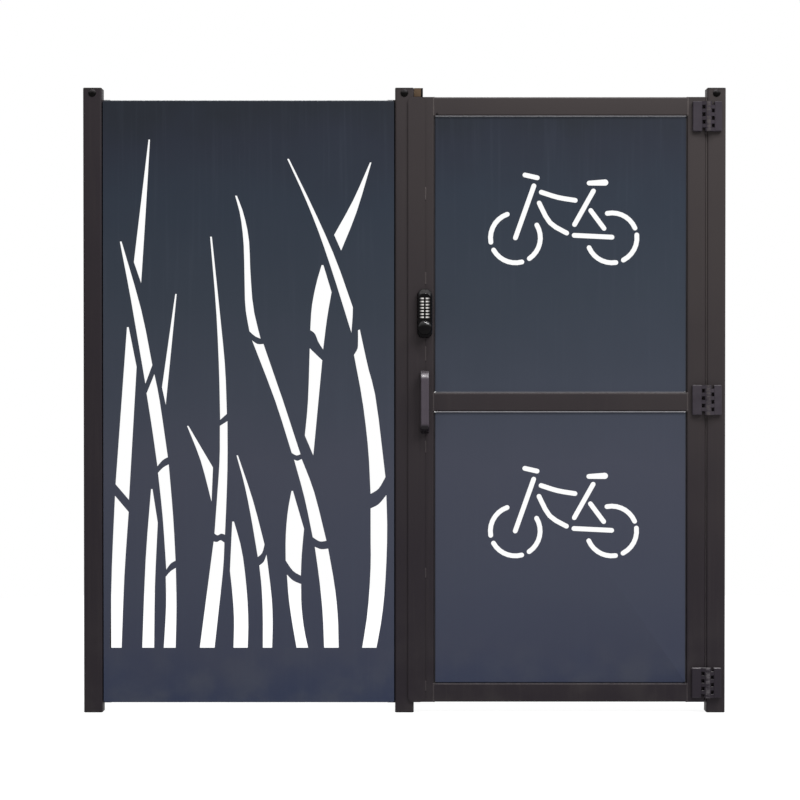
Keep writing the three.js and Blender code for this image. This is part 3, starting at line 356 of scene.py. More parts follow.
# %% [markdown]
# ### Plastic, castings, lock, metal
#
# The smaller parts each have a finish of their own: moulded plastic caps with a fine grain,
# hinges in a dull, slightly purple black, a lock in hard gloss black, buttons in bright
# chrome, a satin grey pull handle, and zinc on the screws and nuts.

# %% Make the grained finishes
def washed(finish, weight, roughness):
    """A glossy skin where rain washes the surface; what hangs over it stays dull."""
    finish.set("Coat Weight", finish.facing("Z").between(0.08, 0.4) * weight)
    finish.set("Coat Roughness", roughness)


def shade_painted_below(finish, share):
    """Paints shade on what faces down, by darkening its colour."""
    under = (0.0 - finish.facing("Z")).between(0.03, 0.45)
    finish.overlay(paint(10, 8, 9), under * share)


def highlight_painted_on_bend(finish, paler, share):
    """Paints a highlight on what leans back from upright, by paling its colour."""
    lean = finish.facing("Z")
    finish.overlay(paler, lean.between(0.1, 0.5) * (1.0 - lean.between(0.75, 0.98)) * share)


def grained(
    slot, name, dark, light, roughness, grain, depth, dust=0.5, specular=0.1, up_slopes=(0.15, 0.8)
):
    """Two shades, a grain with its depth in millimetres, and some dust on what faces up, which
    also paints a highlight there.
    """
    finish = Finish(name, slot, specular=specular)
    fine = finish.noise(grain * mm, detail=2.0)
    clouds = finish.noise(0.03)
    finish.set("Base Color", finish.blend(paint(*dark), paint(*light), clouds))
    dust_and_painted_highlight(finish, paint(104, 100, 102), dust, up_slopes)
    return finish.end(roughness * (fine * 0.25 + clouds * 0.2 + 0.9), fine, depth * mm)


# The two seal finishes are lit and shaded copies of one seal: painted light and painted shade.
cap_plastic, stop_nylon, plug_black, sealing_grey, sealing_dark = [
    grained("cap_plastic", *row) for row in (
        ("cap_plastic", (30, 27, 27), (38, 34, 34), 0.5, 0.7, 0.04, 0.5, 0.2),
        ("stop_nylon", (70, 55, 39), (84, 67, 50), 0.6, 1.0, 0.06, 0.5, 0.2),
        ("plug_black", (4, 3, 4), (9, 8, 8), 0.5, 0.9, 0.02, 0.0, 0.05),
        ("sealing_grey", (132, 131, 136), (148, 147, 151), 0.6, 1.2, 0.04),
        ("sealing_dark", (58, 56, 59), (70, 68, 71), 0.6, 1.2, 0.04),
    )
]
# Painted highlight: the dust on the upper half of the dome is pale enough to light its top.
bolt_black = grained(
    "steel", "bolt_black", (3, 2, 2), (7, 6, 6), 0.4, 0.9, 0.02, 0.5, 0.05, up_slopes=(-0.1, 0.5)
)
lock_gloss = grained(
    "lock_black", "lock_gloss", (5, 4, 5), (10, 8, 9), 0.15, 4.0, 0.01, dust=0.2, specular=0.07
)
washed(lock_gloss, 0.75, 0.1)
# The dust on the handle's upper faces, the paled bends and the darkened underside are painted
# light and painted shade.
handle_satin = grained(
    "handle_grey", "handle_satin", (70, 64, 71), (78, 72, 79), 0.2, 0.8, 0.006, dust=0.7
)
washed(handle_satin, 0.8, 0.26)
highlight_painted_on_bend(handle_satin, paint(168, 164, 168), 0.5)
shade_painted_below(handle_satin, 0.85)
print("made eight grained finishes, two of them with a washed skin")


# %% Make the hinges' coat and the bright metals
def hinge_coat_with_painted_light():
    """The hinges are paler beside their pins and on what faces up, partly wear and dust and partly
    a painted highlight, most near the ground; the tone is darker towards the ground, and painted
    shade darkens it towards the top."""
    finish = Finish("hinge_coat", "hinge_black", specular=0.15)
    dark, reach = paint(36, 31, 38), 8.0 * mm
    axis_x = next(joint for joint in frame["joints"] if joint["name"] == "door_hinge")["pos_m"][0]
    fine, height = finish.noise(1.2 * mm, detail=2.0), finish.height()
    clean = finish.blend(dark, paint(65, 60, 66), finish.noise(0.03))
    # The tone is darker towards the ground, and above 1.1 m painted shade darkens it towards the
    # top, where the lamp lights the hinges more.
    clean = finish.blend(dark, clean, height.between(0.05, 0.6))
    finish.set("Base Color", finish.blend(clean, dark, height.between(1.1, 1.8) * 0.4))
    # Paler beside the pins: partly wear and partly a painted highlight on the knuckles, palest
    # near the ground.
    pin_wear_and_highlight = finish.blend(paint(96, 92, 95), paint(76, 71, 70), height.between(0.05, 0.9))
    near_pins = 1.0 - finish.aside(axis_x).between(reach * 0.6, reach)
    streaks = finish.noise(0.01, stretch=(0.4, 1.0, 1.6)).between(0.35, 0.65)
    finish.overlay(pin_wear_and_highlight, near_pins * streaks * 0.7)
    # Dust on upper edges, which also paints a highlight on them, most near the ground.
    dust_and_painted_highlight(finish, paint(150, 146, 148), 1.0 - height.between(0.2, 1.5) * 0.87)
    return finish.end(0.42 + fine * 0.15, fine, 0.05 * mm)


def bright_metal(name, dull, bright, roughness, grain, stretch=(1.0, 1.0, 1.0)):
    """Bare or plated metal: patches of two tones, smudges in the roughness."""
    finish = Finish(name, "steel", metallic=1.0)
    patches = finish.noise(grain, stretch=stretch)
    smudges = finish.noise(0.008).between(0.45, 0.75)
    finish.set("Base Color", finish.blend(dull, bright, patches.between(0.35, 0.65)))
    return finish.end(roughness + smudges * 0.12 + patches * 0.06, patches, 0.01 * mm)


def chrome_with_painted_shade():
    """Chrome that is bright where fingers polish it, with painted shade on its sides in the
    pockets and towards each button's outer end.
    """
    finish = Finish("button_chrome", "button_chrome", metallic=1.0)
    patches = finish.noise(0.006)
    # Painted shade: the sides of each button, in its pocket, are dark.
    front = (0.0 - finish.facing("Y")).between(0.93, 1.0)
    lock_low, lock_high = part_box("lock_body")
    column, outer_end = 7.0 * mm, 17.0 * mm
    # Painted shade: the chrome darkens towards each button's outer end.
    outwards = finish.aside((lock_low.x + lock_high.x) / 2.0).between(column, outer_end)
    bright = finish.blend(paint(205, 203, 200), paint(230, 228, 224), patches.between(0.35, 0.65))
    bright = finish.blend(bright, paint(74, 73, 74), outwards)
    finish.set("Base Color", finish.blend(paint(26, 24, 25), bright, front))
    return finish.end(0.12 + patches * 0.08, patches, 0.01 * mm)


hinge_coat, button_chrome = hinge_coat_with_painted_light(), chrome_with_painted_shade()
zinc_plate = bright_metal("zinc_plate", paint(140, 142, 146), paint(178, 180, 184), 0.3, 2.0 * mm)
brushed_steel = bright_metal(
    "brushed_steel", paint(150, 150, 152), paint(186, 186, 188), 0.28, 0.8 * mm, (1.0, 1.0, 0.05)
)
print("made the hinges' coat and three bright metals")

# %% [markdown]
# ## Room and floor
#
# The picture is cut out on plain white. The white comes from what the camera, reflections
# and clear parts see of the room, while the light that falls on the steel is much weaker, so
# that a colour renders about as it is written. One wide lamp stands in for the sky, high up on
# the right: the hinges in the picture have a dark edge on their left side and below, and the
# right post's top is the lightest part of the frame. A small one is a bright spot in the cloud.
# It adds little light, but it is what shines on the handle's bend and on the knob.

# %% Light the room
def seen_directly(sheet):
    """1 for what the camera, a reflection or clear glass looks at, 0 for light on a surface."""
    rays = ["Is Camera Ray", "Is Glossy Ray", "Is Transmission Ray"]
    seen = [sheet.node("ShaderNodeLightPath", output=ray) for ray in rays]
    return seen[0].math("MAXIMUM", seen[0].math("MAXIMUM", *seen[:2]), seen[2])


room_level = 0.4
room = bpy.data.worlds.new("white_room")
room.use_nodes = True
room_sheet = NodeSheet(room.node_tree)
room_light = room.node_tree.nodes["Background"]
room_light.inputs["Color"].default_value = (1.0, 1.0, 1.0, 1.0)
strength = seen_directly(room_sheet) * (1.0 - room_level) + room_level
room_sheet.feed(room_light.inputs["Strength"], strength)
bpy.context.scene.world = room


def soft_lamp(name, place, target, width, depth, watts):
    """A rectangular lamp at a place, turned to a target."""
    light = bpy.data.lights.new(name, "AREA")
    light.shape = "RECTANGLE"
    light.size, light.size_y, light.energy = width, depth, watts
    lamp = object_of(name, light)
    lamp.location = place
    lamp.rotation_euler = (Vector(target) - Vector(place)).to_track_quat("-Z", "Y").to_euler()


soft_lamp("sky_lamp", (2.5, -2.9, 4.6), (0.3, 0.0, 1.1), 3.0, 2.0, watts=185.0)
soft_lamp("bright_cloud", (0.45, -2.4, 5.2), (0.1, 0.0, 1.1), 0.5, 0.5, watts=70.0)
soft_lamp("rim_lamp", (-0.6, 3.0, 4.2), (0.0, 0.0, 1.2), 3.0, 1.2, watts=50.0)
bpy.context.scene.view_settings.view_transform = "Standard"
print("room level:", room_level)

# %% [markdown]
# The floor is a plain pale disc. Where the camera sees it, part of its white glows by itself
# and part is lit, so it is white like the room and still keeps the soft shadow of the feet.

# %% Lay the floor
def floor_disc(radius, rim_points=64):
    mesh = bpy.data.meshes.new("floor")
    rim = [i * math.tau / rim_points for i in range(rim_points)]
    places = [(radius * math.cos(turn), radius * math.sin(turn), 0.0) for turn in rim]
    mesh.from_pydata(places, [], [list(range(rim_points))])
    return object_of("floor", mesh)


pale_floor = Finish("pale_floor", roughness=0.9, specular=0.0)
glow_share, floor_radius = 0.86, 4.0
glow = seen_directly(pale_floor) * glow_share
pale_floor.set("Emission Strength", glow)
pale_floor.set("Emission Color", (1.0, 1.0, 1.0, 1.0))
speckle = pale_floor.noise(0.02, detail=2.0) * 0.02
lit, glowing = [(level,) * 3 + (1.0,) for level in (0.8, 0.3)]
pale_floor.set("Base Color", pale_floor.blend(lit, glowing, glow + speckle))
floor = floor_disc(floor_radius)
floor.data.materials.append(pale_floor.material)
print("floor laid, radius in metres:", floor_radius)

# %% [markdown]
# ## Making a piece
#
# Every finer piece is made the same way: a mesh at the origin with its place in its points,
# one material, smooth shading that breaks at sharp edges, and then its name is tied to the
# body that it moves with and to the rigid part that it stands for.

# %% Define how a piece is fitted
def mesh_of(name, shape):
    """Ends a bmesh and returns it as a mesh."""
    mesh = bpy.data.meshes.new(name)
    shape.to_mesh(mesh)
    shape.free()
    return mesh


def fit(piece, finish, body, instead_of=(), sharp=35.0):
    """Paints, shades and ties a piece, and says what it is."""
    mesh = piece.data
    mesh.materials.clear()
    mesh.materials.append(finish.material)
    mesh.shade_smooth()
    mesh.set_sharp_from_angle(angle=math.radians(sharp))
    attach(piece, body)
    if instead_of:
        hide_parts(*instead_of)
    print(piece.name, "rides on", body, "in", finish.slot, "with", len(mesh.polygons), "faces")


def stand_in(name, mesh, finish, sharp=35.0):
    """Fits a finer piece in the place of a rigid part, and returns it."""
    piece = object_of(name + "_finished", mesh)
    fit(piece, finish, nodes[name]["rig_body"], [name], sharp)
    return piece


def centre_of(low, high):
    """The middle (x, z) between two corners."""
    return ((low.x + high.x) / 2.0, (low.z + high.z) / 2.0)


print("fitting helpers ready for", len(nodes), "rigid parts")

# %% [markdown]
# ## Tubes, plates and hinges from the rigid model
#
# Tubes, plates and castings already have the right shape. Their meshes are loose triangles
# with hard shading, so each gets a copy whose points are merged and whose flat triangles are
# joined. Then a small bevel can run along the real edges and catch the light, as the coat
# does where it is drawn round an edge.

# %% Dress the tubes, caps and small parts
def merged_copy(name):
    """A rigid part's mesh with its points merged and its flat triangles joined."""
    shape = bmesh.new()
    shape.from_mesh(nodes[name].data)
    bmesh.ops.remove_doubles(shape, verts=shape.verts, dist=0.005 * mm)
    bmesh.ops.dissolve_limit(
        shape, angle_limit=math.radians(0.4), verts=shape.verts, edges=shape.edges
    )
    return mesh_of(name + "_finished", shape)


def dress(finish, radius, *names, reshape=None):
    """Finishes parts, rounds their real edges and keeps their wide faces flat."""
    for name in names:
        mesh = merged_copy(name)
        if reshape:
            reshape(mesh)
        piece = stand_in(name, mesh, finish)
        if radius:
            edges = piece.modifiers.new("rounded edges", "BEVEL")
            edges.width, edges.segments = radius, 2
            edges.limit_method, edges.angle_limit = "ANGLE", math.radians(40.0)
            edges.use_clamp_overlap = True
        piece.modifiers.new("flat faces", "WEIGHTED_NORMAL").keep_sharp = True


strip_width = 54.0 * mm


def round_strip_ends(mesh, radius=18.0 * mm, cuts=4, near=0.01 * mm, off_arc=0.3 * mm):
    """Splits the facets of the closing strip's corners and sets the new points on the arc."""
    shape = bmesh.new()
    shape.from_mesh(mesh)
    left = min(vertex.co.x for vertex in shape.verts)
    foot, top = (end(vertex.co.z for vertex in shape.verts) for end in (min, max))
    corners = [
        (x, z, out_x, out_z)
        for x, out_x in ((left + radius, -1.0), (left + strip_width - radius, 1.0))
        for z, out_z in ((foot + radius, -1.0), (top - radius, 1.0))
    ]

    def lies_at(point, x, z, out_x, out_z):
        away = ((point.x - x) * out_x, (point.z - z) * out_z)
        return min(away) > -near and abs(math.hypot(*away) - radius) < off_arc

    for corner in corners:
        facets = [
            edge for edge in shape.edges
            if all(lies_at(vertex.co, *corner) for vertex in edge.verts)
            and abs(edge.verts[0].co.y - edge.verts[1].co.y) < near
        ]
        split = bmesh.ops.subdivide_edges(shape, edges=facets, cuts=cuts, use_grid_fill=True)
        for vertex in split["geom_inner"]:
            if isinstance(vertex, bmesh.types.BMVert):
                away = Vector((vertex.co.x - corner[0], vertex.co.z - corner[1]))
                away = away.normalized() * radius
                vertex.co.x, vertex.co.z = corner[0] + away.x, corner[1] + away.y
    print("strip corners:", len(corners), "with", len(facets), "facets each")
    shape.to_mesh(mesh)
    shape.free()


sides, levels = ["left", "middle", "right"], ["top", "middle", "bottom"]
dress(frame_coat, 0.0, *[side + "_post" for side in sides])
dress(frame_coat, 0.0, "lock_stile", "hinge_stile", "top_rail", "middle_rail", "bottom_rail")
dress(frame_coat, 0.8 * mm, "closing_strip", reshape=round_strip_ends)
for end in ("_post_cap", "_foot_plug"):
    dress(cap_plastic, 0.0, *[side + end for side in sides])
for leaf in ("_door_leaf", "_post_leaf"):
    dress(hinge_coat, 1.1 * mm, *[level + leaf for level in levels])
dress(zinc_plate, 0.0, *[level + "_hinge_pin" for level in levels])
dress(zinc_plate, 0.4 * mm, *[side + "_top_nut" for side in sides])
dress(zinc_plate, 0.0, "upper_handle_screw", "lower_handle_screw")
dress(lock_gloss, 0.8 * mm, "lock_back_plate", "inside_turn")

# %% [markdown]
# The sheets are folded back all round, in a press brake, and a fold has a round outer edge. In
# the picture the fold at the top and at the foot of each sheet is a fine pale line, lit from
# above, while the sides are tight. So a bevel runs only along those edges, which are picked by
# their place: on the front plane, at the sheet's rim. The edge's weight is its share of the
# bevel's width. The laser-cut openings stay sharp.

# %% Round the folds of the sheets
def mark_folds(mesh, side_share):
    """Gives the front edges at the rim a bevel weight, and returns how many there are."""
    near, corners = 0.01 * mm, [vertex.co for vertex in mesh.vertices]
    front = min(corner.y for corner in corners)
    rims = [
        (axis, end(corner[axis] for corner in corners), share)
        for axis, share in ((0, side_share), (2, 1.0)) for end in (min, max)
    ]
    weights = mesh.attributes.new("bevel_weight_edge", "FLOAT", "EDGE")
    marked = 0
    for edge in mesh.edges:
        ends = [corners[i] for i in edge.vertices]
        if any(abs(point.y - front) > near for point in ends):
            continue
        for axis, rim, share in rims:
            if all(abs(point[axis] - rim) < near for point in ends):
                weights.data[edge.index].value = share
                marked += 1
    return marked


def folded_sheet(name, radius, side_share=0.15, steps=4):
    """A sheet with its folds rounded, and its sides by a share of that."""
    piece = stand_in(name, merged_copy(name), panel_coat)
    marked = mark_folds(piece.data, side_share)
    fold = piece.modifiers.new("fold", "BEVEL")
    fold.width, fold.segments, fold.limit_method = radius, steps, "WEIGHT"
    print(name, marked, "fold edges of", round(radius / mm, 2), "mm")


for name in ("reed_panel", "upper_infill", "lower_infill"):
    folded_sheet(name, 5.0 * mm)

# %% [markdown]
# The latch, its case, the keep and the lock's own bolts keep the rigid model's shape. Only
# their finish changes.

# %% Finish the latch and the keep
def refinish(finish, *names):
    for name in names:
        for place in nodes[name].material_slots:
            place.material = finish.material
    print(finish.material.name, "on", ", ".join(names))


refinish(brushed_steel, "strike_plate", "latch_bolt")
refinish(zinc_plate, "latch_case", "upper_lock_bolt", "lower_lock_bolt")

# %% [markdown]
# ## Rings and skins
#
# The lock, its knob and buttons and the bolts are skins over a row of rings. A ring is a list
# of points round one axis, all rings of a skin have the same number of points, and flat ends
# close it. The ring's outline is a rule: a rounded rectangle, or a radius that depends on the
# turn, which gives circles, squares, hexagons and the scallops of a knob.

# %% Define rings and skins
def skin(name, rings):
    """A closed skin over rings of (x, y, z) points, with its faces outwards."""
    shape = bmesh.new()
    rows = [[shape.verts.new(point) for point in ring] for ring in rings]
    for low, high in zip(rows, rows[1:]):
        for i, corner in enumerate(low):
            following = (i + 1) % len(low)
            shape.faces.new([corner, low[following], high[following], high[i]])
    shape.faces.new(rows[0][::-1])
    shape.faces.new(rows[-1])
    bmesh.ops.remove_doubles(shape, verts=shape.verts, dist=0.001 * mm)
    bmesh.ops.recalc_face_normals(shape, faces=shape.faces)
    return mesh_of(name, shape)


def flat_sided(radius, sides, turn):
    """The radius of a flat-sided bar of that inner radius, at a turn."""
    sector = math.tau / sides
    return radius / math.cos((turn + sector / 2.0) % sector - sector / 2.0)


def turned(centre, profile, points=48):
    """Rings round the y axis at a centre (x, z), from pairs of y and radius. A radius is a
    number or a rule over the turn."""
    rings = []
    for y, radius in profile:
        ring = []
        for i in range(points):
            turn = i * math.tau / points
            r = radius(turn) if callable(radius) else radius
            ring.append((centre[0] + r * math.cos(turn), y, centre[1] + r * math.sin(turn)))
        rings.append(ring)
    return rings


def quarter_turn(steps, first):
    """The turns of a quarter circle in equal steps, from the one numbered first."""
    return [i / steps * math.pi / 2.0 for i in range(first, steps + 1)]


def rounding(edge, steps, first=0):
    """Pairs of distances, from edge down to 0 and from 0 up to edge, round an edge."""
    turns = quarter_turn(steps, first)
    return [(edge * (1.0 - math.sin(turn)), edge * (1.0 - math.cos(turn))) for turn in turns]


def arc(x, z, radius, start, steps, sweep=0.5):
    """Points (x, z) round a centre. Start and sweep are shares of half a turn."""
    turns = [(start + i / steps * sweep) * math.pi for i in range(steps + 1)]
    return [(x + radius * math.cos(turn), z + radius * math.sin(turn)) for turn in turns]


def rounded_ring(low, high, y, corner, steps):
    """A rounded rectangle at depth y, from its low (x, z) to its high (x, z)."""
    left, foot, right, top = low[0] + corner, low[1] + corner, high[0] - corner, high[1] - corner
    ring = []
    for i, centre in enumerate([(right, top), (left, top), (left, foot), (right, foot)]):
        ring += arc(*centre, corner, i / 2.0, steps)
    return [(x, y, z) for x, z in ring]


print("a hexagon of 8.5 mm flats has corners at", round(flat_sided(8.5, 6, math.pi / 6), 2), "mm")

# %% [markdown]
# ## Cup-head bolts
#
# Each post is held to the shelter by one bolt with a smooth low dome and a square neck, and
# its threaded end comes out behind the post. The dome is a skin over rings on a quarter of an
# ellipse. The thread is a groove that winds round the shank, one turn for each millimetre and
# a half.

# %% Make the cup-head bolts
def cup_head_bolt(name):
    low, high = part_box(name)
    head_radius, head_height, neck_height = (high.x - low.x) / 2.0, 6.0 * mm, 6.0 * mm
    shank, neck_corner, tip = 5.0 * mm, 6.4 * mm, 4.0 * mm
    under_head = low.y + head_height
    neck_end = under_head + neck_height
    neck = lambda turn: min(flat_sided(shank, 4, turn), neck_corner)
    profile = [
        (under_head - head_height * math.cos(rise), head_radius * math.sin(rise))
        for rise in quarter_turn(12, first=1)
    ]
    profile += [(under_head, neck), (neck_end, neck), (neck_end, shank)]
    pitch, middle, wave, steps = 1.5 * mm, 4.65, 0.35, 96
    thread_start, thread_end = high.y - 24.0 * mm, high.y - 1.0 * mm
    for i in range(steps + 1):
        y = thread_start + (thread_end - thread_start) * i / steps
        groove = lambda turn, y=y: (middle + wave * math.cos(math.tau * y / pitch - turn)) * mm
        profile.append((y, groove))
    profile.append((high.y, tip))
    stand_in(name, skin(name + "_finished", turned(centre_of(low, high), profile)), bolt_black)


for side in sides:
    cup_head_bolt(side + "_top_bolt")

# %% [markdown]
# ## Lock housing
#
# The lock is a narrow black casting with an arched outline. Its sides slope in a little, and
# its top slopes a lot, like a small hood that sheds rain. Rings from the seat to the face
# follow that slope. The pockets of the buttons are then cut with a Boolean, because they are
# simple shapes in a flat face.

# %% Make the lock housing
body_low, body_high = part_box("lock_body")
hood_slope, side_slope, arch = 14.0 * mm, 3.0 * mm, 20.0 * mm


def housing_ring(y, depth_share, inset_share, lip=0.0):
    """One ring of the housing; both shares go from 0 at the skirt to 1 at the face."""
    side = side_slope * inset_share + lip
    low = (body_low.x + side, body_low.z + side)
    high = (body_high.x - side, body_high.z - hood_slope * inset_share - lip)
    return rounded_ring(low, high, y, arch - side_slope * depth_share - lip, steps=12)


def lock_housing():
    seat, face = body_high.y, body_low.y
    skirt, lip, steps, curve = seat - 8.0 * mm, 1.5 * mm, 8, 1.15
    rings = [housing_ring(y, 0.0, 0.0) for y in (seat, skirt)]
    for i in range(1, steps + 1):
        share = i / steps
        rings.append(housing_ring(skirt + (face + lip - skirt) * share, share, share ** curve))
    for fall, inset in rounding(lip, 4, first=1):
        rings.append(housing_ring(face + fall, 1.0, 1.0, inset))
    return object_of("lock_housing", skin("lock_housing", rings))


housing = lock_housing()
print("housing", len(housing.data.polygons), "faces before the pockets are cut")

# %% Cut the button pockets
button_names = [f"button_{side}_{row}" for side in ("left", "right") for row in range(1, 8)]


def pocket_cutters(clearance=0.35 * mm, press=2.5 * mm, overrun=1.0 * mm):
    """One cutter for all pockets, each as deep as its button is pressed."""
    shape = bmesh.new()
    corner = 3.2 * mm + clearance
    for name in button_names:
        low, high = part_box(name)
        a, b = (low.x - clearance, low.z - clearance), (high.x + clearance, high.z + clearance)
        depths = [body_low.y - overrun, high.y + press + clearance]
        shape.from_mesh(skin("cutter", [rounded_ring(a, b, y, corner, steps=4) for y in depths]))
    return object_of("pockets", mesh_of("pockets", shape))


def settle(carrier):
    """Works an object's modifiers into its mesh and takes them off."""
    graph = bpy.context.evaluated_depsgraph_get()
    mesh = bpy.data.meshes.new_from_object(carrier.evaluated_get(graph))
    carrier.modifiers.clear()
    carrier.data = mesh


cutters = pocket_cutters()
boolean = housing.modifiers.new("pockets", "BOOLEAN")
boolean.object, boolean.solver = cutters, "EXACT"
settle(housing)
bpy.data.objects.remove(cutters)
fit(housing, lock_gloss, "door", ["lock_body"])
print("cut", len(button_names), "pockets")

# %% [markdown]
# ## Pull handle
#
# The handle is a cast bow. Its ends bend softly into the feet and catch the light there, and a
# shallow flute runs down its face, which makes that light a pair of spots. Its finish also
# paints a highlight on the bends and shade on the underside. The flute fades out before the
# feet. It is a skin over cross-sections that walk along the bow from foot to foot.
# Each one reaches from a point on the inner side line to a point on the outer one, and both
# lines bend at the same rate.

# %% Make the pull handle
def bent_line(start, corner, end, reach, steps=10):
    """Straight from start towards a corner, round it, and straight on to the end."""
    start, corner, end = Vector(start), Vector(corner), Vector(end)
    entry = corner + (start - corner).normalized() * reach
    leave = corner + (end - corner).normalized() * reach
    line = [start, start.lerp(entry, 0.5)]
    for i in range(steps + 1):
        share = i / steps
        line.append(entry.lerp(corner, share).lerp(corner.lerp(leave, share), share))
    return line + [leave.lerp(end, 0.5), end]


def bow_section(half_width, depth, outer_edge, inner_edge, flute):
    """Points (across, out) round a bar with soft edges and a flute in its outer side."""
    flat = half_width - outer_edge
    corners = [
        (flat, depth - outer_edge, outer_edge, 0.0),
        (-flat, depth - outer_edge, outer_edge, 0.5),
        (-half_width + inner_edge, inner_edge, inner_edge, 1.0),
        (half_width - inner_edge, inner_edge, inner_edge, 1.5),
    ]
    points = []
    for x, out, radius, start in corners:
        points += arc(x, out, radius, start, 6)
        if start == 0.0:
            for i in range(1, 12):
                x = flat * (1.0 - i / 6.0)
                points.append((x, depth - flute * (1.0 - (x / flat) ** 4) ** 2))
    return points


def handle_bow(name):
    low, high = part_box(name)
    centre_x, centre_z = centre_of(low, high)
    half_width, half, stand = (high.x - low.x) / 2.0, (high.z - low.z) / 2.0, high.y - low.y
    outer_edge, inner_edge, flute_depth = 4.5 * mm, 2.5 * mm, 0.5 * mm
    inner_slope, upper_slope, lower_slope = 6.0 * mm, 10.0 * mm, 17.0 * mm
    inner_reach, outer_reach = 9.0 * mm, 20.0 * mm
    bar_depth, foot_height = 12.0 * mm, 23.0 * mm
    grip, foot = stand - bar_depth, half - foot_height
    inner = bent_line((0.0, foot), (grip, foot - inner_slope), (grip, 0.0), inner_reach)
    rings = []
    for turned_over, slope in ((1.0, upper_slope), (-1.0, lower_slope)):
        outer = bent_line((0.0, half), (stand, half - slope), (stand, 0.0), outer_reach)
        pairs = [(i, *pair) for i, pair in enumerate(zip(inner, outer))]
        for i, base, tip in pairs if turned_over > 0.0 else pairs[-2::-1]:
            way = tip - base
            flute = flute_depth * min(1.0, max(0.0, (i - 3) / 4.0))
            section = bow_section(half_width, way.length, outer_edge, inner_edge, flute)
            way.normalize()
            ring = []
            for across, out in section:
                rise, climb = base + way * out
                ring.append((centre_x + across, high.y - rise, centre_z + turned_over * climb))
            rings.append(ring)
    stand_in(name, skin(name + "_finished", rings), handle_satin, sharp=60.0)


handle_bow("pull_handle")

# %% [markdown]
# ## Lift stop
#
# Over the door, on the side of the middle post, sits a block that keeps the door from being
# lifted off its hinges. In the picture it is brown, like nylon that has yellowed in the sun,
# with a dark plate on its end. Both are simple plates with soft edges, made from rings.

# %% Make the lift stop
def soft_plate(name, low, high, edge, steps=4):
    """A box between two corners with its front and back edges rounded."""
    rings, corner = [], 1.6 * edge
    for end, inward in ((low.y, 1), (high.y, -1)):
        for inset, rise in rounding(edge, steps)[::inward]:
            a, b = (low.x + inset, low.z + inset), (high.x - inset, high.z - inset)
            rings.append(rounded_ring(a, b, end + inward * rise, corner - inset, steps))
    return object_of(name, skin(name, rings))


stop_low, stop_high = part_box("lift_stop")
seam_x = stop_high.x - 6.0 * mm
block_high = Vector((seam_x, stop_high.y, stop_high.z))
plate_low = Vector((seam_x, stop_low.y, stop_low.z))
block = soft_plate("lift_stop_block", stop_low, block_high, 1.2 * mm)
plate = soft_plate("lift_stop_end_plate", plate_low, stop_high, 0.8 * mm)
fit(block, stop_nylon, "frame", ["lift_stop"])
fit(plate, bolt_black, "frame")

# %% [markdown]
# ## Push buttons
#
# Fourteen chrome buttons stand in two columns. Each is flat towards the middle of the lock
# and round towards its side, and its face falls away from the inner end, so that the inner end
# is the brightest; painted shade on the chrome towards the outer end adds to that. One button
# is a skin over rings, and a small geometry tree puts a copy in each pocket, turned half round
# for the left column.

# %% Make one button
def button_ring(y, inset, slope):
    """An outline with a round outer end; y falls back towards that end by slope."""
    half_w, half_h, corner = 8.0 * mm - inset, 3.5 * mm - inset, max(1.0 * mm - inset, 0.2 * mm)
    ring = arc(half_w - half_h, 0.0, half_h, -0.5, 12, sweep=1.0)
    for centre_z, start in ((half_h - corner, 0.5), (-half_h + corner, 1.0)):
        ring += arc(-half_w + corner, centre_z, corner, start, 3)
    return [(x, y + slope * ((x + half_w) / (2.0 * half_w)) ** 2, z) for x, z in ring]


def one_button(root_y, face_y, edge=1.5 * mm, slope=2.8 * mm):
    rings = [button_ring(root_y, 0.0, 0.0)]
    for fall, inset in rounding(edge, 5):
        rings.append(button_ring(face_y + fall, inset, slope))
    return skin("button", rings)


first_low, first_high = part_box("button_right_1")
button_mesh = one_button(first_high.y, first_low.y)
print("one button has", len(button_mesh.polygons), "faces")

# %% [markdown]
# A geometry tree has named inputs, and a modifier sets them by the socket's own identifier.
# `PieceTree` makes a tree with its inputs, `end` closes it, and `grow` runs it on a mesh and
# keeps the result as a plain mesh, without the modifier.

# %% Define how geometry trees are made and run
class PieceTree(NodeSheet):
    """A geometry tree. Each named input has the kind of its socket, and a finish is added."""

    def __init__(self, name, **kinds):
        super().__init__(bpy.data.node_groups.new(name, "GeometryNodeTree"))
        sockets = self.tree.interface
        for way in ("INPUT", "OUTPUT"):
            sockets.new_socket("Geometry", in_out=way, socket_type="NodeSocketGeometry")
        for label, kind in {**kinds, "Finish": "Material"}.items():
            sockets.new_socket(label, in_out="INPUT", socket_type="NodeSocket" + kind)
        entry = self.tree.nodes.new("NodeGroupInput")
        self.given = {socket.name: Quantity(self, socket) for socket in entry.outputs[:-1]}

    def end(self, geometry):
        """Makes instances real, gives them their finish and ends the tree."""
        real = self.node("GeometryNodeRealizeInstances", {"Geometry": geometry})
        values = {"Geometry": real, "Material": self.given["Finish"]}
        painted = self.node("GeometryNodeSetMaterial", values)
        self.feed(self.tree.nodes.new("NodeGroupOutput").inputs["Geometry"], painted)
        print(self.tree.name, "has", len(self.tree.nodes), "nodes")

    def grow(self, name, base, finish, **values):
        """Runs the tree on a base mesh and returns a plain object."""
        carrier = object_of(name, base)
        modifier = carrier.modifiers.new("grow", "NODES")
        modifier.node_group = self.tree
        values["Finish"] = finish.material
        for socket in self.tree.interface.items_tree:
            if socket.in_out == "INPUT" and socket.name in values:
                modifier[socket.identifier] = values[socket.name]
        settle(carrier)
        return carrier


print("tree helper ready")

# %% Put a button in each pocket
pocket_tree = PieceTree("button in its pocket", Pocket="Vector", Turn="Vector")
given = pocket_tree.given
pocket_tree.end(pocket_tree.node("GeometryNodeTransform", {
    "Geometry": given["Geometry"], "Translation": given["Pocket"], "Rotation": given["Turn"],
}))

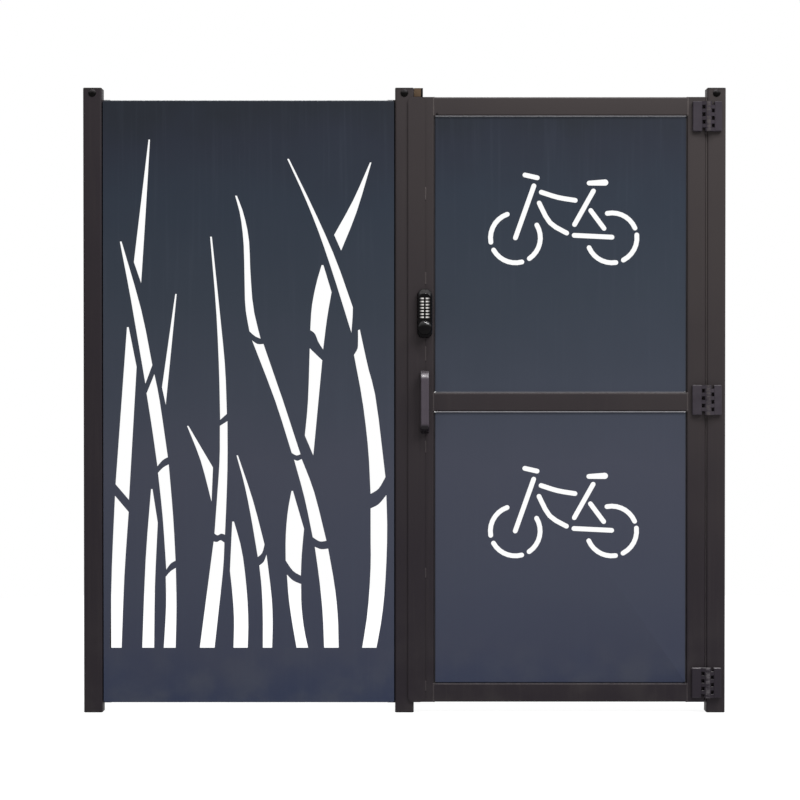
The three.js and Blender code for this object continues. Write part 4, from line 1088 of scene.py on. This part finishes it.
for name in button_names:
    centre_x, centre_z = centre_of(*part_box(name))
    pocket, turn = (centre_x, 0.0, centre_z), (0.0, math.pi if "left" in name else 0.0, 0.0)
    button = pocket_tree.grow(
        name + "_finished", button_mesh.copy(), button_chrome, Pocket=pocket, Turn=turn
    )
    fit(button, button_chrome, nodes[name]["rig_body"], [name], sharp=50.0)
print("placed", len(button_names), "buttons")

# %% [markdown]
# ## Knob
#
# The knob under the buttons is nearly as wide as the lock. It is turned, with a low crown, a
# narrow neck and six shallow scallops for the fingers. The scallops are a rule over the turn,
# so each ring of the skin gets them from one sum. The spindle behind it is square.

# %% Make the knob
def knob(name, scallops=6.0, crown_share=0.42, clearance=0.3 * mm):
    low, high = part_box(name)
    radius, seat = (high.x - low.x) / 2.0, body_low.y - clearance
    depth = seat - low.y
    crown = depth * crown_share

    def grip(share, bite):
        wave = lambda turn: (0.5 - 0.5 * math.cos(scallops * turn)) ** 2
        return lambda turn: radius * share - bite * wave(turn)

    profile = []
    for rise in quarter_turn(10, first=1):
        bite = 1.6 * mm * max(0.0, math.sin(rise) - 0.5)
        profile.append((low.y + crown * (1.0 - math.cos(rise)), grip(math.sin(rise), bite)))
    for share, width, bite in [(0.55, 1.0, 0.8), (0.68, 0.985, 0.6), (0.74, 0.93, 0.3)]:
        profile.append((low.y + depth * share, grip(width, bite * mm)))
    for share, reach in [(0.78, 0.66), (0.84, 0.58), (1.0, 0.57)]:
        profile.append((low.y + depth * share, radius * reach))
    spindle = lambda turn: min(flat_sided(2.75 * mm, 4, turn), 3.6 * mm)
    profile += [(seat, spindle), (high.y, spindle)]
    rings = turned(centre_of(low, high), profile, points=96)
    stand_in(name, skin(name + "_finished", rings), lock_gloss, sharp=50.0)


knob("lock_knob")

# %% [markdown]
# ## Weld beads
#
# The rails are welded to the stiles all round. At the front the rail's flat end meets the
# stile's rounded corner, so the weld fills a groove there and shows as a pale upright line,
# whose paleness is a painted highlight in the beads' paler coat.
# Welds also hold the closing strip, as short stitches along its edge. A bead is a row of
# overlapping ripples, which is what a geometry tree does well: it walks along a path and sets
# a flattened ball at each step, with a little seeded unevenness.

# %% Draw the weld bead's tree
bead_tree = PieceTree("weld bead", Pitch="Float", Width="Float", Height="Float", Seed="Int")
given = bead_tree.given
path = bead_tree.node("GeometryNodeMeshToCurve", {"Mesh": given["Geometry"]})
points = bead_tree.node(
    "GeometryNodeCurveToPoints", {"Curve": path, "Length": given["Pitch"]}, mode="LENGTH"
)
ball = bead_tree.node("GeometryNodeMeshUVSphere", {"Segments": 8, "Rings": 6, "Radius": 1.0})
uneven = bead_tree.node(
    "FunctionNodeRandomValue", {2: 0.9, 3: 1.1, "Seed": given["Seed"]}, 1, data_type="FLOAT"
)
size = bead_tree.node("ShaderNodeCombineXYZ", {
    "X": given["Width"] * uneven, "Y": given["Height"] * uneven, "Z": given["Pitch"] * 1.5,
})
facing = Quantity(bead_tree, points.socket.node.outputs["Rotation"])
bead_tree.end(bead_tree.node("GeometryNodeInstanceOnPoints", {
    "Points": points, "Instance": ball, "Rotation": facing, "Scale": size,
}))


def paths_mesh(name, paths):
    """Edges only: each path is a list of points, joined in order."""
    mesh = bpy.data.meshes.new(name)
    places, edges = [], []
    for line in paths:
        start = len(places)
        places += line
        edges += [(start + i, start + i + 1) for i in range(len(line) - 1)]
    mesh.from_pydata(places, edges, [])
    return mesh


def weld(name, body, paths, width, height, seed, pitch=2.4 * mm):
    values = {"Pitch": pitch, "Width": width, "Height": height, "Seed": seed}
    bead = bead_tree.grow(name, paths_mesh(name, paths), weld_coat, **values)
    fit(bead, weld_coat, body, sharp=80.0)


# %% Find the rails' tubes
def rail_tubes():
    """The low and high corner of each rail's tube, without the strips that are joined to it."""
    tube = 60.0 * mm
    tubes = {name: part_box(name) for name in ("top_rail", "middle_rail", "bottom_rail")}
    middle = sum(corner.z for corner in tubes["middle_rail"]) / 2.0
    tubes["top_rail"][0].z = tubes["top_rail"][1].z - tube
    tubes["middle_rail"][0].z, tubes["middle_rail"][1].z = middle - tube / 2.0, middle + tube / 2.0
    tubes["bottom_rail"][1].z = tubes["bottom_rail"][0].z + tube
    return tubes


rails = rail_tubes()
for name, (low, high) in rails.items():
    print(name, "from", round(low.z, 4), "to", round(high.z, 4))

# %% Weld the rails and stitch the strip
groove_middle, groove_depth, round_corner, clear = 2.0 * mm, 1.6 * mm, 6.0 * mm, 3.0 * mm
groove_paths, fillet_paths = [], []
for low, high in rails.values():
    for x, away in ((low.x, -1.0), (high.x, 1.0)):
        for y in (low.y + groove_depth, high.y - groove_depth):
            ends = (low.z + clear, high.z - clear)
            groove_paths.append([(x + away * groove_middle, y, z) for z in ends])
        for z in (low.z, high.z):
            ends = (low.y + round_corner, high.y - round_corner)
            fillet_paths.append([(x, y, z) for y in ends])
weld("groove_welds", "door", groove_paths, width=3.4 * mm, height=1.9 * mm, seed=3)
weld("fillet_welds", "door", fillet_paths, width=1.7 * mm, height=1.7 * mm, seed=5)

strip_low, strip_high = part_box("closing_strip")
stitch_x, stitch_y = strip_low.x + strip_width + 1.2 * mm, strip_high.y - 0.6 * mm
stitch_paths = []
for z, length in [
    (1.666, 35.0), (1.394, 32.0), (1.153, 40.0), (0.854, 32.0), (0.449, 26.0), (0.086, 26.0)
]:
    half = length * mm / 2.0
    stitch_paths.append([(stitch_x, stitch_y, z + end) for end in (-half, half)])
weld("strip_stitches", "door", stitch_paths, width=2.9 * mm, height=2.5 * mm, seed=9)

# %% [markdown]
# ## Sealing cords
#
# In the picture the narrow gaps beside the sheets and beside the hinges aren't black. A pale
# line runs over and under the middle rail, with a bright dot of daylight at each of its
# corners, and a finer one under the top rail. Round sealing cords explain all of that: they lie
# in the gaps and end just short of the rail's corners. The cords beside the sheets and those by
# the rails are one seal in two colours, painted shade and painted light. Each is a circle swept
# along a straight path by a geometry tree.

# %% Draw the sealing cord's tree
cord_tree = PieceTree("sealing cord", Radius="Float", Sides="Int")
given = cord_tree.given
path = cord_tree.node("GeometryNodeMeshToCurve", {"Mesh": given["Geometry"]})
values = {"Resolution": given["Sides"], "Radius": given["Radius"]}
circle = cord_tree.node("GeometryNodeCurvePrimitiveCircle", values, mode="RADIUS")
values = {"Curve": path, "Profile Curve": circle, "Fill Caps": True}
cord_tree.end(cord_tree.node("GeometryNodeCurveToMesh", values))


def sealing_cord(name, body, paths, radius, finish, sides=12):
    cord = cord_tree.grow(name, paths_mesh(name, paths), finish, Radius=radius, Sides=sides)
    shape = bmesh.new()
    shape.from_mesh(cord.data)
    bmesh.ops.recalc_face_normals(shape, faces=shape.faces)
    shape.to_mesh(cord.data)
    shape.free()
    fit(cord, finish, body)


# %% Lay the sealing cords
side_radius, rail_radius, thin_radius = 1.9 * mm, 1.6 * mm, 1.0 * mm
half_gap, behind_face, behind_fold = 2.0 * mm, 2.0 * mm, 3.5 * mm
daylight, short, seat = 1.3 * mm, 0.3 * mm, 0.2 * mm
side_paths = []
for infill, at_foot, at_top in (
    ("upper_infill", daylight, short), ("lower_infill", short, daylight)
):
    low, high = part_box(infill)
    depth = low.y + behind_fold + side_radius
    for x in (low.x - half_gap, high.x + half_gap):
        side_paths.append([(x, depth, z) for z in (low.z + at_foot, high.z - at_top)])
sealing_cord("side_cords", "door", side_paths, side_radius, sealing_dark)

low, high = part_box("upper_infill")
rail_low, rail_high = rails["middle_rail"]
over = (low.y + behind_face, rail_high.z + rail_radius)
under = (rail_low.y + rail_radius + seat, rail_low.z - rail_radius)
rail_paths = [[(x, *place) for x in (low.x, high.x)] for place in (over, under)]
sealing_cord("rail_cords", "door", rail_paths, rail_radius, sealing_grey)
rail_low, rail_high = rails["top_rail"]
place = (rail_low.y + thin_radius + seat, rail_low.z - thin_radius)
top_path = [(x, *place) for x in (low.x, high.x)]
sealing_cord("top_cord", "door", [top_path], thin_radius, sealing_grey)

door_low, door_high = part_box("hinge_stile")
cord_x, cord_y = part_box("right_post")[0].x - 1.5 * mm, -25.0 * mm
hinge_side = [(cord_x, cord_y, z) for z in (door_low.z, door_high.z)]
# The cord takes the paler coat, which paints light into the gap beside the hinges.
sealing_cord("hinge_side_cord", "frame", [hinge_side], rail_radius, weld_coat)
print("hinge-side cord at x =", round(cord_x, 4), "and the door ends at", round(door_high.x, 4))

# %% [markdown]
# ## Screws
#
# From behind, screws with a hexagonal head and a pressed washer hold the sheets to the flat
# bearers on the posts and stiles. One screw is a skin over rings, and a geometry tree sets it
# along a row, each with its own seeded turn. Two low round-headed screws hold the keep.

# %% Make one screw of each kind
def turned_screw(name, spec):
    """A screw head that stands out along +y from its seat at y = 0. The pairs of y and radius
    are in millimetres, apart from a rule."""
    profile = [(y * mm, size if callable(size) else size * mm) for y, size in spec]
    return skin(name, turned((0.0, 0.0), profile, points=24))


hexagon = lambda turn: flat_sided(4.0 * mm, 6, turn)
socket = lambda turn: flat_sided(1.25 * mm, 6, turn)
washer_screw_mesh = turned_screw("washer_head_screw", [
    (-0.3, 3.0), (0.0, 6.0), (0.7, 6.3), (1.2, 5.6), (1.5, hexagon), (4.4, hexagon),
    (4.9, 3.9), (4.9, 2.8), (4.5, 2.4),
])
keep_screw_mesh = turned_screw("low_round_screw", [
    (-0.2, 4.0), (0.0, 4.4), (0.6, 4.2), (1.1, 3.4), (1.4, 2.2), (1.4, socket), (0.6, socket),
])
print("faces:", len(washer_screw_mesh.polygons), len(keep_screw_mesh.polygons))

# %% Draw the screw row's tree
screw_tree = PieceTree(
    "row of screws", Count="Int", First="Vector", Step="Vector", Lean="Vector", Seed="Int"
)
given = screw_tree.given
row = screw_tree.node("GeometryNodeMeshLine", {
    "Count": given["Count"], "Start Location": given["First"], "Offset": given["Step"],
}, mode="OFFSET")
spin = screw_tree.node("FunctionNodeRandomValue", {
    0: (0.0, 0.0, 0.0), 1: (0.0, math.tau, 0.0), "Seed": given["Seed"],
}, data_type="FLOAT_VECTOR")
spun = screw_tree.node("GeometryNodeInstanceOnPoints", {
    "Points": row, "Instance": given["Geometry"], "Rotation": spin,
})
values = {"Instances": spun, "Rotation": given["Lean"]}
screw_tree.end(screw_tree.node("GeometryNodeRotateInstances", values))


def screw_row(name, body, screw, first, last, count, seed, lean=(0.0, 0.0, 0.0)):
    step = (Vector(last) - Vector(first)) / (count - 1)
    values = {"Count": count, "First": first, "Step": step, "Lean": lean, "Seed": seed}
    fit(screw_tree.grow(name, screw.copy(), zinc_plate, **values), zinc_plate, body)


# %% Set the screws
rim, post_bearer_back, door_bearer_back = 10.0 * mm, 2.3 * mm, 4.3 * mm
sheet_rows = [
    ("reed_panel", "panel_screws", "frame", post_bearer_back, 75.0 * mm, 6, 11),
    ("upper_infill", "upper_infill_screws", "door", door_bearer_back, 60.0 * mm, 4, 17),
    ("lower_infill", "lower_infill_screws", "door", door_bearer_back, 60.0 * mm, 4, 17),
]
for sheet_name, label, body, back, from_end, count, seed in sheet_rows:
    low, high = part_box(sheet_name)
    for side, x in (("left", low.x + rim), ("right", high.x - rim)):
        ends = [(x, back, z) for z in (low.z + from_end, high.z - from_end)]
        screw_row(f"{label}_{side}", body, washer_screw_mesh, *ends, count, seed)

keep_low, keep_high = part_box("strike_plate")
keep_z = (keep_low.z + keep_high.z) / 2.0
ends = [(keep_high.x, 0.0, keep_z + rise * mm) for rise in (-23.0, 23.0)]
towards_door = (0.0, 0.0, -math.pi / 2.0)
screw_row("keep_screws", "frame", keep_screw_mesh, *ends, count=2, seed=23, lean=towards_door)

# %% [markdown]
# ## Vent plug
#
# Closed tubes are drilled before they are dipped or baked, so that hot air can get out. The
# top rail has such a hole near its left end, closed by a small dark plug. Seen from the front
# it is only a dark dot.

# %% Plug the vent hole
rail_low, rail_high = rails["top_rail"]
plug_centre = (rail_low.x + 9.5 * mm, rail_low.z + 6.0 * mm)
plug_spec = [(0.4, 2.6), (0.0, 3.6), (-0.35, 3.4), (-0.45, 2.8), (-0.1, 2.0), (0.3, 1.6)]
plug_profile = [(rail_low.y + y * mm, radius * mm) for y, radius in plug_spec]
plug_mesh = skin("vent_plug", turned(plug_centre, plug_profile, points=32))
fit(object_of("vent_plug", plug_mesh), plug_black, "door")
print("in a rail of", round((rail_high.z - rail_low.z) / mm, 1), "mm")
